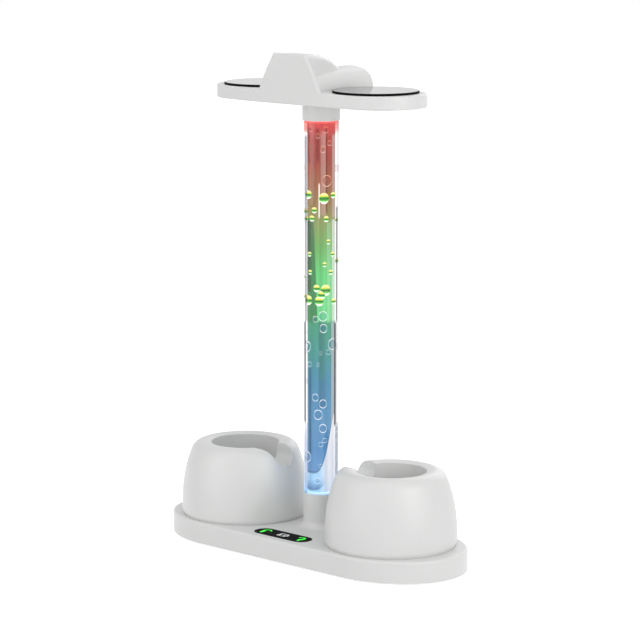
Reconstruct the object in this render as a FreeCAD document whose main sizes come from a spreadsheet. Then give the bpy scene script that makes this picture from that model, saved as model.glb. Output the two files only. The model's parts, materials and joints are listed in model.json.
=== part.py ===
import FreeCAD, Part
import Sketcher
import math
import os

doc = FreeCAD.newDocument("headset_dock")

# Driving sizes in millimetres. The floor is z = 0, the front is -y, and x runs left to right.
driving_sizes = {
    # Base: an oval box with a flat front, a recessed bottom cover and four feet
    "base_half_length": 154.5,
    "base_half_depth": 59.4,
    "base_flat_half": 84,
    "base_end_radius": 52.6,
    "base_height": 18.4,
    "base_wall": 2.6,
    "base_roof": 2.6,
    "base_edge_round": 2.2,
    "cover_thickness": 2.4,
    "cover_gap": 0.2,
    "foot_height": 1.6,
    "foot_seat": 0.8,
    "foot_radius": 9,
    "foot_spacing_half": 112,
    "foot_depth_half": 34,
    "ballast_length": 76,
    "ballast_depth": 56,
    "ballast_thickness": 5,
    "ballast_peg_half": 28,
    "peg_radius": 3,
    "peg_height": 3,
    # Screws and their bosses
    "boss_radius": 3.5,
    "screw_radius": 1.25,
    "screw_head_radius": 2.6,
    "screw_head_height": 1.2,
    "screw_length": 8,
    "screw_gap": 0.1,
    "cup_screw_length": 9.3,
    "board_screw_length": 5.2,
    "indicator_screw_length": 3.6,
    "cradle_screw_length": 6.6,
    "cover_screw_end": 132,
    "cover_screw_side": 50,
    "cover_screw_depth": 46,
    # Cups: domes with a round well and a half-round notch facing the column
    "cup_spacing_half": 85.8,
    "cup_radius": 55.9,
    "cup_height": 64.4,
    "cup_foot_round": 6,
    "cup_foot_height": 4,
    "cup_straight": 12,
    "cup_side_radius": 124,
    "cup_shoulder": 11.5,
    "cup_rim_fall": 1.2,
    "cup_wall": 2.6,
    "cup_boss_radius": 4.5,
    "cup_boss_circle": 36.6,
    "cup_boss_height": 18,
    "well_radius": 30,
    "well_floor_height": 10,
    "well_floor_thickness": 3,
    "well_corner": 4,
    "well_lip": 0.7,
    "notch_depth": 16.9,
    "notch_radius": 11,
    "notch_lean": 31,
    "notch_brow": 9,
    "notch_brow_rise": 0.3,
    # Charging contacts under each well floor
    "contact_plug_length": 16,
    "contact_plug_depth": 8,
    "contact_plug_drop": 0.5,
    "contact_flange_rim": 3,
    "contact_flange_height": 3,
    "contact_gap": 0.2,
    "contact_board_depth": 30,
    "contact_board_back": 5,
    "contact_pitch_half": 3.6,
    "pin_radius": 1,
    "pin_proud": 1.2,
    "pin_collar_radius": 1.6,
    "pin_collar_height": 0.9,
    "pin_gap": 0.06,
    "spring_room_radius": 1.8,
    "spring_length": 3,
    "spring_radius": 1.15,
    "spring_wire_radius": 0.25,
    "spring_turns": 2.5,
    # Electronics in the base
    "board_thickness": 1.2,
    "main_board_length": 84,
    "main_board_depth": 34,
    "main_board_wall_gap": 1.9,
    "standoff_height": 5,
    "standoff_radius": 3,
    "standoff_inset": 5,
    "standoff_front_inset": 10,
    "controller_side": 7,
    "controller_height": 1.2,
    "connector_length": 6,
    "connector_depth": 5,
    "connector_height": 5,
    "connector_front_margin": 0.3,
    "side_connector_half": 30,
    "indicator_connector": 14,
    "lead_radius": 1.25,
    "lead_hole_radius": 3,
    "lead_rise_back": 14,
    "socket_length": 8.9,
    "socket_height": 3.3,
    "socket_depth": 7.4,
    "socket_wall": 0.3,
    "socket_tongue": 0.7,
    "socket_spacing": 24,
    "socket_recess": 0.4,
    # Indicator panel let into the base roof
    "panel_half_length": 30.5,
    "panel_half_depth": 9.4,
    "panel_thickness": 1.4,
    "panel_proud": 0.2,
    "panel_forward": 42,
    "panel_gap": 0.1,
    "window_half_length": 25,
    "window_half_depth": 4.5,
    "post_height": 3,
    "post_radius": 2.6,
    "post_spacing_half": 29,
    "indicator_board_depth": 12,
    "indicator_led_side": 3,
    "indicator_led_height": 2,
    "indicator_led_pitch": 10,
    # Column: clear tube round a lit core, between a collar on the base and one under the cradle
    "column_setback": 6,
    "column_radius": 15,
    "column_bore_radius": 8,
    "column_length": 321.9,
    "collar_radius": 15.5,
    "collar_height": 30.3,
    "collar_flare": 6,
    "spigot_length": 12,
    "spigot_bore_radius": 5.4,
    "spigot_gap": 0.1,
    "diffuser_gap": 0.3,
    "diffuser_wall": 1.4,
    "strip_width": 9.6,
    "strip_thickness": 1,
    "strip_end_depth": 8,
    "strip_led_side": 5,
    "strip_led_height": 1.5,
    "strip_led_pitch": 16.6,
    "top_collar_radius": 16.1,
    "top_collar_height": 15.6,
    "collar_screw_circle": 10.8,
    # Cradle: an oval plate with two rest pads and a nose block
    "cradle_setback": 4.7,
    "cradle_half_length": 107.6,
    "cradle_half_depth": 39.2,
    "cradle_flat_half": 30,
    "cradle_end_radius": 37,
    "cradle_thickness": 11.4,
    "cradle_wall": 2.4,
    "cradle_roof": 3,
    "cradle_edge_round": 1.2,
    "cradle_cover_thickness": 2,
    "cradle_boss_half": 82,
    "cradle_boss_depth": 14,
    "pad_radius": 36.2,
    "pad_spacing_half": 62.8,
    "pad_thickness": 3,
    "pad_seat": 1,
    "pad_edge_round": 0.6,
    # Nose block: a front plate, a saddle falling to the rear and a low arch
    "nose_half_width": 34.3,
    "nose_top_half_width": 17.5,
    "nose_height": 30.8,
    "nose_side_radius": 150,
    "nose_plate": 3.4,
    "nose_plate_round": 1.2,
    "nose_wall": 3,
    "nose_corner": 4,
    "arch_half_width": 25,
    "arch_height": 17,
    "arch_end_radius": 15.5,
    "saddle_top_half_width": 16.7,
    "saddle_top_taper": 2.2,
    "saddle_waist_half_width": 22.4,
    "saddle_waist_taper": 3.5,
    "saddle_waist_height": 7,
    "saddle_crown": 16.7,
    "saddle_fall": 4.4,
    "saddle_end": 12.5,
    "saddle_step": 1.7,
    "saddle_step_length": 4.5,
    "saddle_sink": 2,
}

sheet = doc.addObject("Spreadsheet::Sheet", "sizes")
for row, (alias, size) in enumerate(driving_sizes.items(), start=1):
    sheet.set(f"A{row}", alias)
    sheet.set(f"B{row}", str(size))
    sheet.setAlias(f"B{row}", alias)
doc.recompute()

up = FreeCAD.Vector(0, 0, 1)
upright = FreeCAD.Rotation(FreeCAD.Vector(1, 0, 0), 90)
sideways = FreeCAD.Rotation(FreeCAD.Vector(1, 1, 1), 120)
cut_margin = 5
level_tolerance = 1e-6

# Levels, from the floor up
base_bottom = "sizes.foot_height"
cover_top = f"({base_bottom} + sizes.cover_thickness)"
base_top = f"({base_bottom} + sizes.base_height)"
roof_under = f"({base_top} - sizes.base_roof)"
main_board_bottom = f"({cover_top} + sizes.standoff_height)"
main_board_top = f"({main_board_bottom} + sizes.board_thickness)"
lead_level = f"({main_board_top} + sizes.connector_height / 2)"
indicator_top = f"({roof_under} - sizes.post_height)"
cup_top = f"({base_top} + sizes.cup_height)"
well_floor = f"({base_top} + sizes.well_floor_height)"
well_under = f"({well_floor} - sizes.well_floor_thickness)"
contact_base = f"({well_under} - sizes.contact_flange_height)"
collar_top = f"({base_top} + sizes.collar_height)"
column_top = f"({collar_top} + sizes.column_length)"
cradle_bottom = f"({column_top} + sizes.top_collar_height)"
cradle_cover_top = f"({cradle_bottom} + sizes.cradle_cover_thickness)"
cradle_top = f"({cradle_bottom} + sizes.cradle_thickness)"
cradle_under = f"({cradle_top} - sizes.cradle_roof)"
cradle_front = "(sizes.cradle_setback - sizes.cradle_half_depth)"

finished = []


def number(expression):
    return float(sheet.evalExpression(str(expression).replace("sizes.", "")))


def bind(item, expressions):
    for name, expression in expressions.items():
        item.setExpression(name, str(expression))
    return item


def finish(item, label):
    item.Label = label
    finished.append(item)
    return item


# Draws a closed outline, anticlockwise. Each corner is (x, y, radius of the edge that leaves it):
# None is a straight edge, and a minus sign makes an arc hollow.
def outline(sketch, corners):
    points = [FreeCAD.Vector(number(x), number(y), 0) for x, y, _ in corners]
    ends = []
    for index, (_, _, bend) in enumerate(corners):
        start = points[index]
        stop = points[(index + 1) % len(points)]
        if bend is None:
            edge = sketch.addGeometry(Part.LineSegment(start, stop))
            ends.append((edge, 1, 2))
            continue
        radius = number(bend)
        chord = stop - start
        rise = math.sqrt(max(radius ** 2 - (chord.Length / 2) ** 2, 0))
        left = FreeCAD.Vector(-chord.y, chord.x, 0).normalize()
        centre = (start + stop) * 0.5 + left * math.copysign(rise, radius)
        first, last = (start, stop) if radius > 0 else (stop, start)
        first_angle = math.atan2(first.y - centre.y, first.x - centre.x)
        last_angle = math.atan2(last.y - centre.y, last.x - centre.x)
        circle = Part.Circle(centre, up, abs(radius))
        edge = sketch.addGeometry(Part.ArcOfCircle(circle, first_angle, last_angle))
        ends.append((edge, 1, 2) if radius > 0 else (edge, 2, 1))
        size = sketch.addConstraint(Sketcher.Constraint("Radius", edge, abs(radius)))
        sketch.setExpression(f"Constraints[{size}]", f"abs({bend})")
    for index, (x, y, _) in enumerate(corners):
        edge, start_end, _ = ends[index]
        before, _, before_end = ends[index - 1]
        sketch.addConstraint(Sketcher.Constraint("Coincident", before, before_end, edge, start_end))
        for kind, place, at in (("DistanceX", x, points[index].x), ("DistanceY", y, points[index].y)):
            size = sketch.addConstraint(Sketcher.Constraint(kind, -1, 1, edge, start_end, at))
            sketch.setExpression(f"Constraints[{size}]", str(place))
    return sketch


# Corners of an oval: flat middle, long side arcs and end arcs, all tangent
def oval(half_length, half_depth, flat_half, end_radius):
    run = f"({half_length} - {flat_half} - {end_radius})"
    side = f"(({run}^2 + {half_depth}^2 - {end_radius}^2) / (2 * ({half_depth} - {end_radius})))"
    join_x = f"({half_length} - {end_radius} + {end_radius} * {run} / ({side} - {end_radius}))"
    join_y = f"({end_radius} * ({side} - {half_depth}) / ({side} - {end_radius}))"
    return [
        (f"-{flat_half}", f"-{half_depth}", None),
        (flat_half, f"-{half_depth}", side),
        (join_x, f"-{join_y}", end_radius),
        (join_x, join_y, side),
        (flat_half, half_depth, None),
        (f"-{flat_half}", half_depth, side),
        (f"-{join_x}", join_y, end_radius),
        (f"-{join_x}", f"-{join_y}", side),
    ]


def base_oval(inset):
    return oval(f"(sizes.base_half_length - {inset})", f"(sizes.base_half_depth - {inset})",
                "sizes.base_flat_half", f"(sizes.base_end_radius - {inset})")


def cradle_oval(inset):
    return oval(f"(sizes.cradle_half_length - {inset})", f"(sizes.cradle_half_depth - {inset})",
                "sizes.cradle_flat_half", f"(sizes.cradle_end_radius - {inset})")


def stadium(half_length, half_depth):
    straight = f"({half_length} - {half_depth})"
    return [
        (f"-{straight}", f"-{half_depth}", None),
        (straight, f"-{half_depth}", half_depth),
        (half_length, "0", half_depth),
        (straight, half_depth, None),
        (f"-{straight}", half_depth, half_depth),
        (f"-{half_length}", "0", half_depth),
    ]


def new_body(label):
    return finish(doc.addObject("PartDesign::Body", label), label)


def body_sketch(body, name, role, corners, offset):
    plane = next(item for item in body.Origin.OriginFeatures if item.Role == role)
    sketch = body.newObject("Sketcher::SketchObject", name)
    sketch.AttachmentSupport = [(plane, "")]
    sketch.MapMode = "FlatFace"
    bind(sketch, {f"AttachmentOffset.Base.{axis}": place for axis, place in offset.items()})
    return outline(sketch, corners)


def pad(body, name, corners, low, height, x="0", y="0"):
    sketch = body_sketch(body, f"{name}_outline", "XY_Plane", corners, {"x": x, "y": y, "z": low})
    feature = body.newObject("PartDesign::Pad", name)
    feature.Profile = sketch
    return bind(feature, {"Length": height})


# Cuts upwards from low
def pocket(body, name, corners, low, height, x="0", y="0"):
    sketch = body_sketch(body, f"{name}_outline", "XY_Plane", corners, {"x": x, "y": y, "z": low})
    feature = body.newObject("PartDesign::Pocket", name)
    feature.Profile = sketch
    feature.Reversed = True
    return bind(feature, {"Length": height})


# A turned shape about an upright axis at (x, y): corners are (radius, level)
def turned(body, name, corners, x="0", y="0"):
    sketch = body_sketch(body, f"{name}_profile", "XZ_Plane", corners, {"x": x, "z": f"-({y})"})
    feature = body.newObject("PartDesign::Revolution", name)
    feature.Profile = sketch
    feature.ReferenceAxis = (sketch, ["V_Axis"])
    feature.Angle = 360
    return feature


def round_bar(body, kind, name, radius, low, height, x="0", y="0"):
    feature = body.newObject(f"PartDesign::{kind}Cylinder", name)
    return bind(feature, {
        "Radius": radius, "Height": height,
        "Placement.Base.x": x, "Placement.Base.y": y, "Placement.Base.z": low,
    })


# A box centred on (x, y), standing on low
def block(body, kind, name, length, depth, height, low, x="0", y="0"):
    feature = body.newObject(f"PartDesign::{kind}Box", name)
    return bind(feature, {
        "Length": length, "Width": depth, "Height": height,
        "Placement.Base.x": f"{x} - {length} / 2",
        "Placement.Base.y": f"{y} - {depth} / 2",
        "Placement.Base.z": low,
    })


def edges_at(shape, level):
    return [
        index for index, edge in enumerate(shape.Edges, start=1)
        if all(abs(vertex.Z - number(level)) < level_tolerance for vertex in edge.Vertexes)
    ]


def round_edges(body, name, level, radius):
    doc.recompute()
    base = body.Tip
    feature = body.newObject("PartDesign::Fillet", name)
    feature.Base = (base, [f"Edge{index}" for index in edges_at(base.Shape, level)])
    return bind(feature, {"Radius": radius})


def free_sketch(name, rotation, corners, x="0", y="0", z="0"):
    sketch = doc.addObject("Sketcher::SketchObject", name)
    sketch.Placement = FreeCAD.Placement(FreeCAD.Vector(), rotation)
    bind(sketch, {"Placement.Base.x": x, "Placement.Base.y": y, "Placement.Base.z": z})
    return outline(sketch, corners)


def extrusion(name, sketch, length):
    item = doc.addObject("Part::Extrusion", name)
    item.Base = sketch
    item.DirMode = "Normal"
    item.Solid = True
    return bind(item, {"LengthFwd": length})


def revolved(name, corners, x):
    item = doc.addObject("Part::Revolution", name)
    item.Source = free_sketch(f"{name}_profile", upright, corners, x=x)
    item.Axis = up
    item.Angle = 360
    item.Solid = True
    return bind(item, {"Base.x": x})


def cylinder(name, radius, height, x, y, low):
    return bind(doc.addObject("Part::Cylinder", name), {
        "Radius": radius, "Height": height,
        "Placement.Base.x": x, "Placement.Base.y": y, "Placement.Base.z": low,
    })


def box(name, length, depth, height, x, y, low):
    return bind(doc.addObject("Part::Box", name), {
        "Length": length, "Width": depth, "Height": height,
        "Placement.Base.x": f"{x} - {length} / 2",
        "Placement.Base.y": f"{y} - {depth} / 2",
        "Placement.Base.z": low,
    })


def joined(name, shapes):
    item = doc.addObject("Part::MultiFuse", name)
    item.Shapes = shapes
    return item


def cut(name, base, tool):
    item = doc.addObject("Part::Cut", name)
    item.Base = base
    item.Tool = tool
    return item


def common(name, first, second):
    item = doc.addObject("Part::Common", name)
    item.Base = first
    item.Tool = second
    return item


def group(label, items):
    item = doc.addObject("Part::Compound", label)
    item.Links = items
    return finish(item, label)


# Screws of one kind. Each place is (x, y, level under the head), and the shank points up or down.
def screws(label, places, points_up, length="sizes.screw_length"):
    made = []
    for index, (x, y, seat) in enumerate(places):
        name = f"{label}_{index}"
        head_low = f"{seat} - sizes.screw_head_height" if points_up else seat
        shank_low = seat if points_up else f"{seat} - {length}"
        head = cylinder(f"{name}_head", "sizes.screw_head_radius", "sizes.screw_head_height", x, y, head_low)
        shank = cylinder(f"{name}_shank", "sizes.screw_radius", length, x, y, shank_low)
        made.append(joined(name, [head, shank]))
    return group(label, made)


sides = {"left": -1, "right": 1}
pilot_radius = "(sizes.screw_radius + sizes.screw_gap)"
pilot_depth = "(sizes.screw_length + 1)"


def cup_x(sign):
    return f"({sign} * sizes.cup_spacing_half)"


cover_screw_places = [(f"({x} * sizes.cover_screw_end)", "0") for x in (-1, 1)]
cover_screw_places += [
    (f"({x} * sizes.cover_screw_side)", f"({y} * sizes.cover_screw_depth)")
    for x in (-1, 1) for y in (-1, 1)
]
foot_places = {
    f"foot_{row}_{side}": (f"({x} * sizes.foot_spacing_half)", f"({y} * sizes.foot_depth_half)")
    for side, x in sides.items() for row, y in (("front", -1), ("rear", 1))
}
boss_angles = (90, 210, 330)


def around(circle, angle, x, y):
    return f"({x} + {circle} * cos({angle} deg))", f"({y} + {circle} * sin({angle} deg))"


def cup_screw_places(sign):
    return [around("sizes.cup_boss_circle", angle, cup_x(sign), "0") for angle in boss_angles]


collar_screw_places = [
    around("sizes.collar_screw_circle", angle, "0", "sizes.column_setback") for angle in boss_angles
]
cradle_boss_places = [
    (f"({x} * sizes.cradle_boss_half)", f"(sizes.cradle_setback + {y} * sizes.cradle_boss_depth)")
    for x in (-1, 1) for y in (-1, 1)
]
main_board_rear = "(sizes.base_half_depth - sizes.base_wall - sizes.main_board_wall_gap)"
main_board_front = f"({main_board_rear} - sizes.main_board_depth)"
main_board_back = f"(({main_board_rear} + {main_board_front}) / 2)"
standoff_x = "(sizes.main_board_length / 2 - sizes.standoff_inset)"
standoff_front = f"({main_board_front} + sizes.standoff_front_inset)"
standoff_rear = f"({main_board_rear} - sizes.standoff_inset)"
standoff_places = [
    (f"({x} * {standoff_x})", y) for x in (-1, 1) for y in (standoff_front, standoff_rear)
]
socket_places = {
    "power_socket": "(-sizes.socket_spacing / 2)",
    "headset_socket": "(sizes.socket_spacing / 2)",
}
socket_face = "(sizes.base_half_depth - sizes.socket_recess)"
panel_y = "(-sizes.panel_forward)"


# Base shell: oval moulding, open below, with the column's collar and spigot on its roof
def make_base_shell():
    body = new_body("base_shell")
    pad(body, "base_block", base_oval("0"), base_bottom, "sizes.base_height")
    round_edges(body, "base_top_edge", base_top, "sizes.base_edge_round")
    hollow = "(sizes.base_height - sizes.base_roof)"
    pocket(body, "base_hollow", base_oval("sizes.base_wall"), base_bottom, hollow)
    collar_inside = "(sizes.collar_radius - sizes.base_wall)"
    round_bar(body, "Subtractive", "collar_opening", collar_inside, roof_under, "sizes.base_roof",
              y="sizes.column_setback")
    flare = "(sizes.collar_radius + sizes.collar_flare)"
    spigot = "(sizes.column_bore_radius - sizes.spigot_gap)"
    spigot_top = f"({collar_top} + sizes.spigot_length)"
    web = f"({collar_top} - sizes.base_roof)"
    turned(body, "collar", [
        (collar_inside, roof_under, None),
        (flare, roof_under, None),
        (flare, base_top, "-sizes.collar_flare"),
        ("sizes.collar_radius", f"({base_top} + sizes.collar_flare)", None),
        ("sizes.collar_radius", collar_top, None),
        (spigot, collar_top, None),
        (spigot, spigot_top, None),
        ("sizes.spigot_bore_radius", spigot_top, None),
        ("sizes.spigot_bore_radius", web, None),
        (collar_inside, web, None),
    ], y="sizes.column_setback")
    boss_height = f"({roof_under} - {cover_top})"
    for index, (x, y) in enumerate(cover_screw_places):
        round_bar(body, "Additive", f"cover_boss_{index}", "sizes.boss_radius", cover_top, boss_height, x, y)
        round_bar(body, "Subtractive", f"cover_pilot_{index}", pilot_radius, cover_top, pilot_depth, x, y)
    for index, sign in enumerate((-1, 1)):
        x = f"({sign} * sizes.post_spacing_half)"
        round_bar(body, "Additive", f"indicator_post_{index}", "sizes.post_radius", indicator_top,
                  "sizes.post_height", x, panel_y)
        round_bar(body, "Subtractive", f"post_pilot_{index}", pilot_radius, indicator_top,
                  "sizes.post_height", x, panel_y)
    recess = "(sizes.panel_thickness - sizes.panel_proud)"
    pocket(body, "panel_recess", stadium("(sizes.panel_half_length + sizes.panel_gap)",
                                         "(sizes.panel_half_depth + sizes.panel_gap)"),
           f"({base_top} - {recess})", recess, y=panel_y)
    block(body, "Subtractive", "panel_window", "(2 * sizes.window_half_length)",
          "(2 * sizes.window_half_depth)", "sizes.base_roof", roof_under, y=panel_y)
    for side, sign in sides.items():
        for index, (x, y) in enumerate(cup_screw_places(sign)):
            round_bar(body, "Subtractive", f"{side}_cup_hole_{index}", pilot_radius, roof_under,
                      "sizes.base_roof", x, y)
        round_bar(body, "Subtractive", f"{side}_lead_hole", "sizes.lead_hole_radius", roof_under,
                  "sizes.base_roof", cup_x(sign), "sizes.lead_rise_back")
    for name, x in socket_places.items():
        block(body, "Subtractive", f"{name}_opening", "(sizes.socket_length + 2 * sizes.cover_gap)",
              "(3 * sizes.base_wall)", "(sizes.socket_height + 2 * sizes.cover_gap)",
              f"({main_board_top} - sizes.cover_gap)", x, "sizes.base_half_depth")


# Bottom cover: drops into the shell's open side, with foot seats, standoffs and ballast pegs
def make_bottom_cover():
    body = new_body("bottom_cover")
    pad(body, "cover_plate", base_oval("(sizes.base_wall + sizes.cover_gap)"), base_bottom,
        "sizes.cover_thickness")
    for index, (x, y) in enumerate(cover_screw_places):
        round_bar(body, "Subtractive", f"cover_hole_{index}", pilot_radius, base_bottom,
                  "sizes.cover_thickness", x, y)
        round_bar(body, "Subtractive", f"head_seat_{index}", "(sizes.screw_head_radius + sizes.screw_gap)",
                  base_bottom, "sizes.screw_head_height", x, y)
    for name, (x, y) in foot_places.items():
        round_bar(body, "Subtractive", f"{name}_seat", "(sizes.foot_radius + sizes.cover_gap)", base_bottom,
                  "sizes.foot_seat", x, y)
    for index, (x, y) in enumerate(standoff_places):
        round_bar(body, "Additive", f"standoff_{index}", "sizes.standoff_radius", cover_top,
                  "sizes.standoff_height", x, y)
        round_bar(body, "Subtractive", f"standoff_pilot_{index}", pilot_radius, cover_top,
                  "sizes.standoff_height", x, y)
    for side, sign in sides.items():
        for index, shift in enumerate((-1, 1)):
            x = f"({cup_x(sign)} + {shift} * sizes.ballast_peg_half)"
            round_bar(body, "Additive", f"{side}_peg_{index}", "sizes.peg_radius", cover_top,
                      "sizes.peg_height", x)


def make_feet():
    for name, (x, y) in foot_places.items():
        body = new_body(name)
        round_bar(body, "Additive", f"{name}_disc", "sizes.foot_radius", "0",
                  "(sizes.foot_height + sizes.foot_seat)", x, y)
        round_edges(body, f"{name}_edge", "0", "sizes.foot_seat / 2")


def make_ballast():
    for side, sign in sides.items():
        body = new_body(f"{side}_ballast_plate")
        block(body, "Additive", f"{side}_ballast_block", "sizes.ballast_length", "sizes.ballast_depth",
              "sizes.ballast_thickness", cover_top, cup_x(sign))
        for index, shift in enumerate((-1, 1)):
            x = f"({cup_x(sign)} + {shift} * sizes.ballast_peg_half)"
            round_bar(body, "Subtractive", f"{side}_peg_hole_{index}", "(sizes.peg_radius + sizes.cover_gap)",
                      cover_top, "sizes.ballast_thickness", x)


# Outside of a cup as (radius, level), from the base up to the flat of its rim
def cup_outside(inset):
    side = f"(sizes.cup_side_radius - {inset})"
    shoulder = f"(sizes.cup_shoulder - {inset})"
    straight = f"({base_top} + sizes.cup_straight)"
    rim = f"({cup_top} - {inset})"
    rise = f"(({rim} - {straight} - {shoulder}) / ({side} - {shoulder}))"
    fall = f"sqrt(1 - {rise}^2)"
    outer = f"(sizes.cup_radius - {inset})"
    flat = f"({outer} - {side} + ({side} - {shoulder}) * {fall})"
    return [
        (outer, straight, side),
        (f"({flat} + {shoulder} * {fall})", f"({rim} - {shoulder} + {shoulder} * {rise})", shoulder),
        (flat, rim, None),
    ]


# Section of the notch: a round bottom, an upright rear side and a front side that leans out to a rounded brow
def notch_section(grow):
    centre = f"({cup_top} - sizes.notch_depth + sizes.notch_radius)"
    radius = f"(sizes.notch_radius + {grow})"
    above = f"({cup_top} + {cut_margin})"
    out = "cos(sizes.notch_lean)"
    down = "sin(sizes.notch_lean)"
    brow = f"({cup_top} + sizes.notch_brow_rise)"
    climb = f"({brow} - {centre} + sizes.notch_radius * {down})"
    edge = f"(sizes.notch_radius * {out} + {climb} * {down} / {out})"
    brow_y = f"({edge} + sizes.notch_brow * sqrt((1 - {down}) / (1 + {down})))"
    brow_centre = f"({brow} - sizes.notch_brow)"
    bend = f"(sizes.notch_brow - {grow})"
    return [
        (f"(-{radius} * {out})", f"({centre} - {radius} * {down})", radius),
        ("0", f"({centre} - {radius})", radius),
        (radius, centre, None),
        (radius, above, None),
        (f"(-{brow_y})", above, None),
        (f"(-{brow_y})", f"({brow_centre} + {bend})", f"-{bend}"),
        (f"({bend} * {out} - {brow_y})", f"({brow_centre} + {bend} * {down})", None),
    ]


# Cup: one moulding with an outer skin, a well, a notch between them and screw bosses below
def make_cup(side, sign):
    x = cup_x(sign)
    outer = "sizes.cup_radius"
    tuck = "(sizes.cup_foot_round - sqrt(sizes.cup_foot_round^2 - sizes.cup_foot_height^2))"
    foot = [(f"({outer} - {tuck})", base_top, "sizes.cup_foot_round"),
            (outer, f"({base_top} + sizes.cup_foot_height)", None)]
    inner_radius = f"({outer} - sizes.cup_wall)"
    well_outside = "(sizes.well_radius + sizes.cup_wall)"
    corner_level = f"({well_floor} + sizes.well_corner)"
    inside = list(reversed(cup_outside("sizes.cup_wall")))
    flared = "(sizes.well_radius + sizes.well_lip)"
    rim_low = f"({cup_top} - sizes.cup_rim_fall)"
    *lower, crest = cup_outside("0")
    crown = f"((({crest[0]} - {flared})^2 + sizes.cup_rim_fall^2) / (2 * sizes.cup_rim_fall))"
    outside = foot + lower + [(crest[0], crest[1], crown), (flared, rim_low, "sizes.well_lip")]
    skin = revolved(f"{side}_cup_skin", outside + [
        ("sizes.well_radius", f"({rim_low} - sizes.well_lip)", None),
        ("sizes.well_radius", corner_level, "-sizes.well_corner"),
        ("(sizes.well_radius - sizes.well_corner)", well_floor, None),
        ("0", well_floor, None),
        ("0", well_under, None),
        (well_outside, well_under, None),
        (well_outside, f"({cup_top} - sizes.cup_wall)", None),
        (inside[0][0], inside[0][1], f"-{inside[1][2]}"),
        (inside[1][0], inside[1][1], f"-{inside[2][2]}"),
        (inside[2][0], inside[2][1], None),
        (inner_radius, base_top, None),
    ], x)
    dome = revolved(f"{side}_cup_dome", outside[:-1] + [
        (flared, rim_low, None),
        ("0", rim_low, None),
        ("0", base_top, None),
    ], x)
    well = revolved(f"{side}_well_space", [
        ("0", corner_level, None),
        ("sizes.well_radius", corner_level, None),
        ("sizes.well_radius", f"({rim_low} - sizes.well_lip)", "-sizes.well_lip"),
        (flared, rim_low, None),
        (flared, f"({cup_top} + {cut_margin})", None),
        ("0", f"({cup_top} + {cut_margin})", None),
    ], x)
    notch_start = x if sign < 0 else f"({x} - {outer})"
    channel = extrusion(f"{side}_notch_wall", free_sketch(
        f"{side}_notch_wall_section", sideways, notch_section("sizes.cup_wall"), x=notch_start), outer)
    notch = extrusion(f"{side}_notch_space", free_sketch(
        f"{side}_notch_section", sideways, notch_section("0"), x=notch_start), outer)
    bosses = [
        cylinder(f"{side}_cup_boss_{index}", "sizes.cup_boss_radius", "sizes.cup_boss_height",
                 bx, by, base_top)
        for index, (bx, by) in enumerate(cup_screw_places(sign))
    ]
    pilots = [
        cylinder(f"{side}_cup_pilot_{index}", pilot_radius, pilot_depth, bx, by, base_top)
        for index, (bx, by) in enumerate(cup_screw_places(sign))
    ]
    window = box(f"{side}_contact_window", "(sizes.contact_plug_length + 2 * sizes.contact_gap)",
                 "(sizes.contact_plug_depth + 2 * sizes.contact_gap)", "sizes.well_floor_thickness",
                 x, "0", well_under)
    walls = joined(f"{side}_cup_walls", [skin, common(f"{side}_channel", channel, dome)] + bosses)
    spaces = joined(f"{side}_cup_spaces", [well, notch, window] + pilots)
    finish(cut(f"{side}_cup", walls, spaces), f"{side}_cup")


# Charging contacts: a black block in the well floor, its board, and two sprung pins
def make_contacts(side, sign):
    x = cup_x(sign)
    plug_height = "(sizes.well_floor_thickness - sizes.contact_plug_drop)"
    plug_top = f"({well_floor} - sizes.contact_plug_drop)"
    pin_places = {
        "outer": f"({x} + {sign} * sizes.contact_pitch_half)",
        "inner": f"({x} - {sign} * sizes.contact_pitch_half)",
    }
    room_height = "(sizes.spring_length + sizes.pin_collar_height + sizes.pin_gap)"
    body = new_body(f"{side}_contact_block")
    flange_length = "(sizes.contact_plug_length + 2 * sizes.contact_flange_rim)"
    block(body, "Additive", f"{side}_contact_flange", flange_length,
          "(sizes.contact_plug_depth + 2 * sizes.contact_flange_rim)", "sizes.contact_flange_height",
          contact_base, x)
    block(body, "Additive", f"{side}_contact_plug", "sizes.contact_plug_length", "sizes.contact_plug_depth",
          plug_height, well_under, x)
    for place, px in pin_places.items():
        round_bar(body, "Subtractive", f"{side}_{place}_spring_room", "sizes.spring_room_radius", contact_base,
                  room_height, px)
        round_bar(body, "Subtractive", f"{side}_{place}_pin_hole", "(sizes.pin_radius + sizes.pin_gap)",
                  contact_base, f"({plug_top} - {contact_base})", px)
    board = new_body(f"{side}_contact_board")
    block(board, "Additive", f"{side}_contact_board_plate", flange_length, "sizes.contact_board_depth",
          "sizes.board_thickness", f"({contact_base} - sizes.board_thickness)", x, "sizes.contact_board_back")
    collar_low = f"({contact_base} + sizes.spring_length)"
    collar_high = f"({collar_low} + sizes.pin_collar_height)"
    tip = f"({well_floor} + sizes.pin_proud)"
    for place, px in pin_places.items():
        pin = new_body(f"{side}_{place}_contact_pin")
        turned(pin, f"{side}_{place}_pin_profile", [
            ("0", collar_low, None),
            ("sizes.pin_collar_radius", collar_low, None),
            ("sizes.pin_collar_radius", collar_high, None),
            ("sizes.pin_radius", collar_high, None),
            ("sizes.pin_radius", f"({tip} - sizes.pin_radius / 2)", "1.25 * sizes.pin_radius"),
            ("0", tip, None),
        ], x=px)
        make_spring(f"{side}_{place}_pin_spring", px)


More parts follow.
